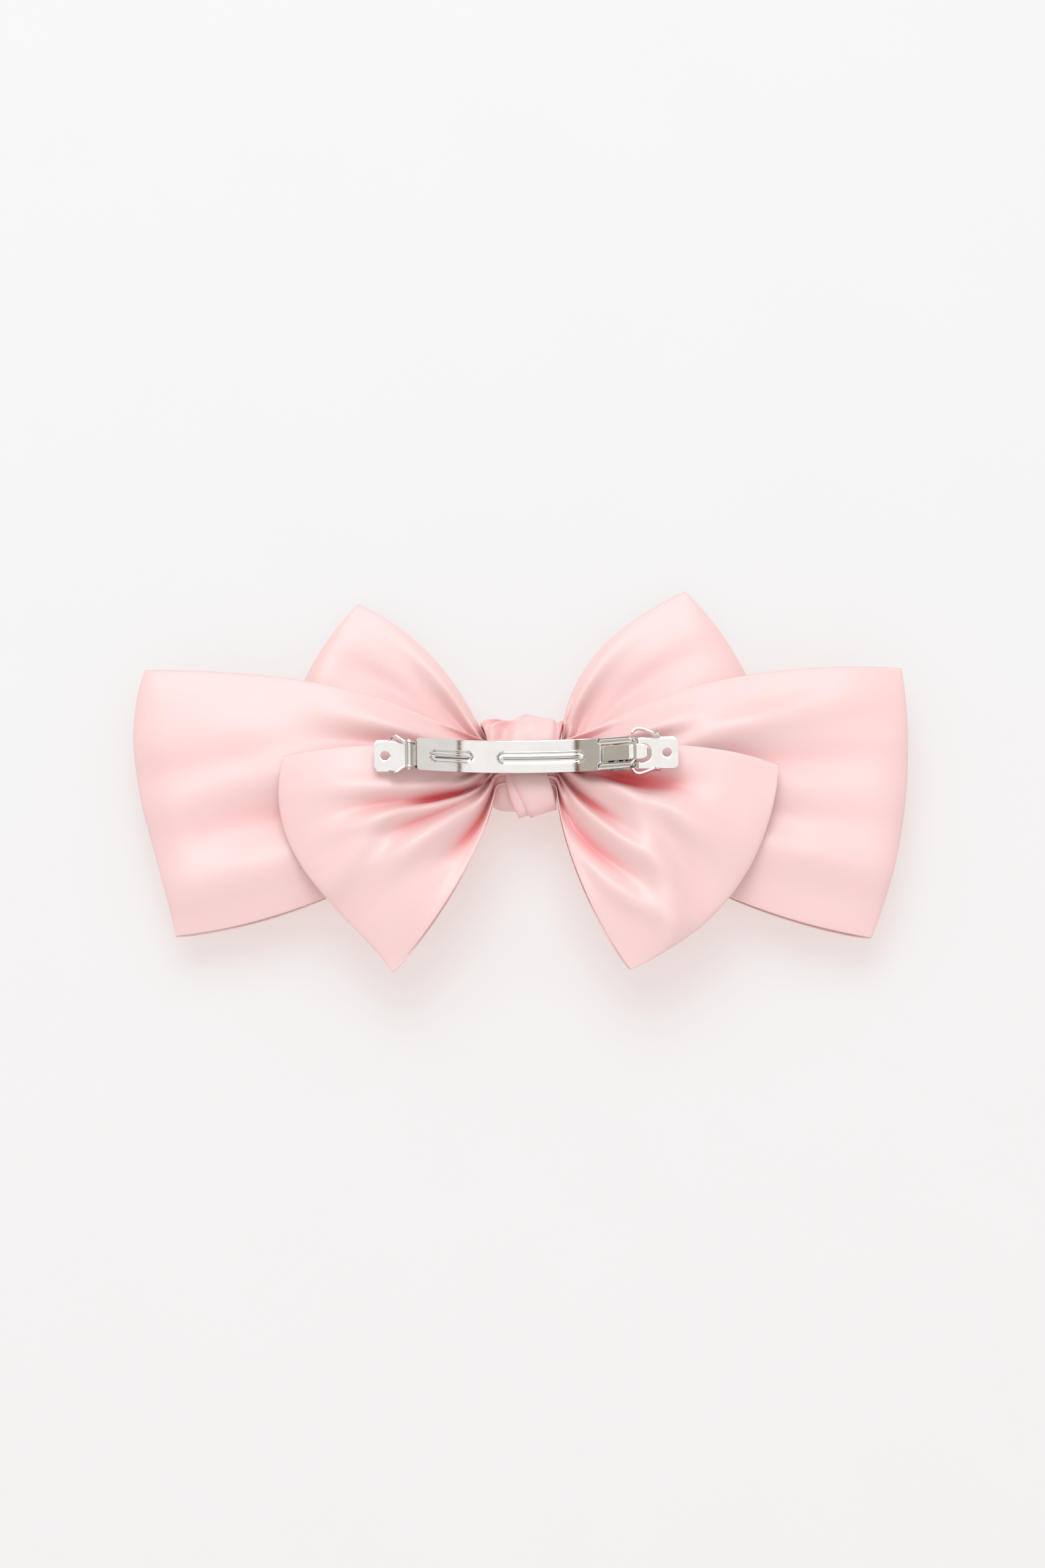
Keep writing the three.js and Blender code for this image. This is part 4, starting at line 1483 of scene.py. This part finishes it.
        wall = MetalWall(plan, low, high, self.wall).shape()
        piece = bench.piece(name, wall, body, "nickel", nickel, [node])
        self._deburr(piece)


# ---------------------------------------------------------------- the studio


@dataclass
class Studio:
    """A pale lit table, soft light from overhead and the far side, and a camera above.

    The table top gives off light of its own, which keeps the shadows pale and warm.
    """

    origin: Vector
    distance: float = 0.900
    elevation: float = 80.0
    roll: float = -0.70
    aim: Vector = field(default_factory=lambda: Vector((-1.03, -7.86, 0)) * MM)
    lens: float = 78.7
    overhead: Point = (0.15, 0.10)

    def build(self) -> None:
        """Sets up the camera, the floor and the light."""
        self._camera()
        self._floor()
        self._world()
        x, y = self.overhead
        self._light("overhead", (x, y, 1.3), (0, 0, 0), 1.15, 0.9)
        self._light("far_side", (-0.15, 0.86, 1.25), (-33, 0, 0), 1.0, 10.0)
        self._softbox_frame()
        self._dim_side()
        self._walls()
        scene = bpy.context.scene
        scene.view_settings.view_transform = "Standard"
        scene.view_settings.look = "None"

    def _camera(self) -> None:
        """The camera, tilted off the vertical."""
        camera = bpy.data.cameras.new("camera")
        camera.lens = self.lens
        camera.sensor_width = 36
        camera.clip_start = 0.01
        holder = bpy.data.objects.new("camera", camera)
        tilt = math.radians(90 - self.elevation)
        back = Vector((0, -math.sin(tilt), math.cos(tilt))) * self.distance
        turn = Euler((tilt, 0, 0)).to_matrix() @ Matrix.Rotation(math.radians(self.roll), 3, "Z")
        holder.matrix_world = Matrix.Translation(self.origin + self.aim + back) @ turn.to_4x4()
        bpy.context.scene.collection.objects.link(holder)
        bpy.context.scene.camera = holder

    @staticmethod
    def _floor() -> None:
        """The table top."""
        plane = bmesh.new()
        bmesh.ops.create_grid(plane, x_segments=1, y_segments=1, size=4.0)
        mesh = bpy.data.meshes.new("floor")
        plane.to_mesh(mesh)
        plane.free()
        nodes = Nodes("table_top")
        where = nodes.add("ShaderNodeTexCoord").outputs["Object"]
        grain = nodes.noise(where, 30.0, 2.0)
        mesh.materials.append(
            nodes.finish(
                {
                    "Base Color": nodes.blend(grain, (0.212, 0.375, 0.41, 1), (0.222, 0.385, 0.42, 1)),
                    "Roughness": 0.9,
                    "Specular IOR Level": 0.1,
                    "Emission Color": (1.0, 0.70, 0.64, 1),
                    "Emission Strength": 0.655,
                }
            )
        )
        floor = bpy.data.objects.new("floor", mesh)
        floor.location.z = -0.0002
        bpy.context.scene.collection.objects.link(floor)

    @staticmethod
    def _world() -> None:
        """Even pale light from all round."""
        world = bpy.data.worlds.new("studio")
        world.use_nodes = True
        background = world.node_tree.nodes["Background"]
        background.inputs["Color"].default_value = (1.0, 0.97, 0.96, 1)
        background.inputs["Strength"].default_value = 0.86
        bpy.context.scene.world = world

    @staticmethod
    def _light(name: str, place: Triple, turn: Triple, size: float, power: float) -> None:
        """One square soft light.

        Args:
            name: Its name.
            place: Where it stands, in metres.
            turn: How it is turned, in degrees; unturned, it shines straight down.
            size: The length of its sides.
            power: Its power in watts.
        """
        lamp = bpy.data.lights.new(name, "AREA")
        lamp.size = size
        lamp.energy = power
        holder = bpy.data.objects.new(name, lamp)
        holder.location = place
        holder.rotation_euler = Euler([math.radians(a) for a in turn])
        bpy.context.scene.collection.objects.link(holder)

    def _softbox_frame(self) -> None:
        """The brown frame round the overhead light, which shows only in polished metal."""
        outer, inner = 0.64, 0.575
        ring = bmesh.new()
        bmesh.ops.create_grid(ring, x_segments=1, y_segments=1, size=outer)
        bmesh.ops.inset_region(ring, faces=ring.faces[:], thickness=outer - inner, use_boundary=True)
        hole = min(ring.faces, key=lambda face: face.calc_center_median().length)
        bmesh.ops.delete(ring, geom=[hole], context="FACES")
        browns = ((0.17, 0.075, 0.02, 1), (0.24, 0.11, 0.035, 1))
        self._reflected("softbox_frame", ring, browns, (*self.overhead, 1.29))

    def _dim_side(self) -> None:
        """The unlit side of the room overhead, which shows only in polished metal."""
        panel = bmesh.new()
        bmesh.ops.create_grid(panel, x_segments=1, y_segments=1, size=0.55)
        greys = ((0.52, 0.50, 0.44, 1), (0.62, 0.60, 0.54, 1))
        self._reflected("dim_side", panel, greys, (-1.0, self.overhead[1], 1.295))

    def _walls(self) -> None:
        """The dim room round the table, which shows only in polished metal."""
        drum = bmesh.new()
        bmesh.ops.create_cone(drum, segments=48, radius1=1.6, radius2=1.6, depth=0.5)
        self._reflected("room", drum, ((0.16, 0.13, 0.11, 1), (0.30, 0.26, 0.22, 1)), (0.0, 0.0, 0.75))

    @staticmethod
    def _reflected(
        name: str, shape: bmesh.types.BMesh, colours: tuple[Colour, Colour], place: Triple
    ) -> None:
        """Hangs a shape that only reflections see.

        Args:
            name: Its name.
            shape: Its mesh in metres, which is freed.
            colours: The two colours that it is mottled in.
            place: Where it hangs, in metres.
        """
        mesh = bpy.data.meshes.new(name)
        shape.to_mesh(mesh)
        shape.free()
        nodes = Nodes(name)
        where = nodes.add("ShaderNodeTexCoord").outputs["Object"]
        shade = nodes.noise(where, 4.0, 1.0)
        matt = {"Base Color": nodes.blend(shade, *colours), "Roughness": 0.9, "Specular IOR Level": 0.0}
        mesh.materials.append(nodes.finish(matt))
        card = bpy.data.objects.new(name, mesh)
        card.location = place
        card.visible_camera = card.visible_diffuse = False
        card.visible_shadow = card.visible_transmission = False
        bpy.context.scene.collection.objects.link(card)


# ---------------------------------------------------------------- the whole object


def dress(node: str, material: bpy.types.Material) -> None:
    """Gives a CAD node that stays in view a better finish."""
    for slot in frame["nodes"][node].material_slots:
        slot.material = material


def main() -> None:
    """Builds the bow, the knot and the clasp, and sets them in the studio."""
    logging.basicConfig(level=logging.INFO, format="%(name)s: %(message)s")
    bench = Bench()
    Studio(bench.origin).build()
    satin = Satin().material()
    knot_satin = Satin(name="knot_satin", width=24.2).material()
    nickel = Nickel().material()
    Knot().build(bench, knot_satin, Satin(name="folded_satin", selvage=0.01).material())
    for ribbon in bow_ribbons():
        ribbon.build(bench, satin)
    Clasp().build(bench, nickel)
    thread = Thread().material()
    for node in ("back_gather_thread", "wide_gather_thread", "front_gather_thread", "bundle_thread"):
        dress(node, thread)
    dress("glue_pad", HotGlue().material())


if __name__ == "__main__":
    main()
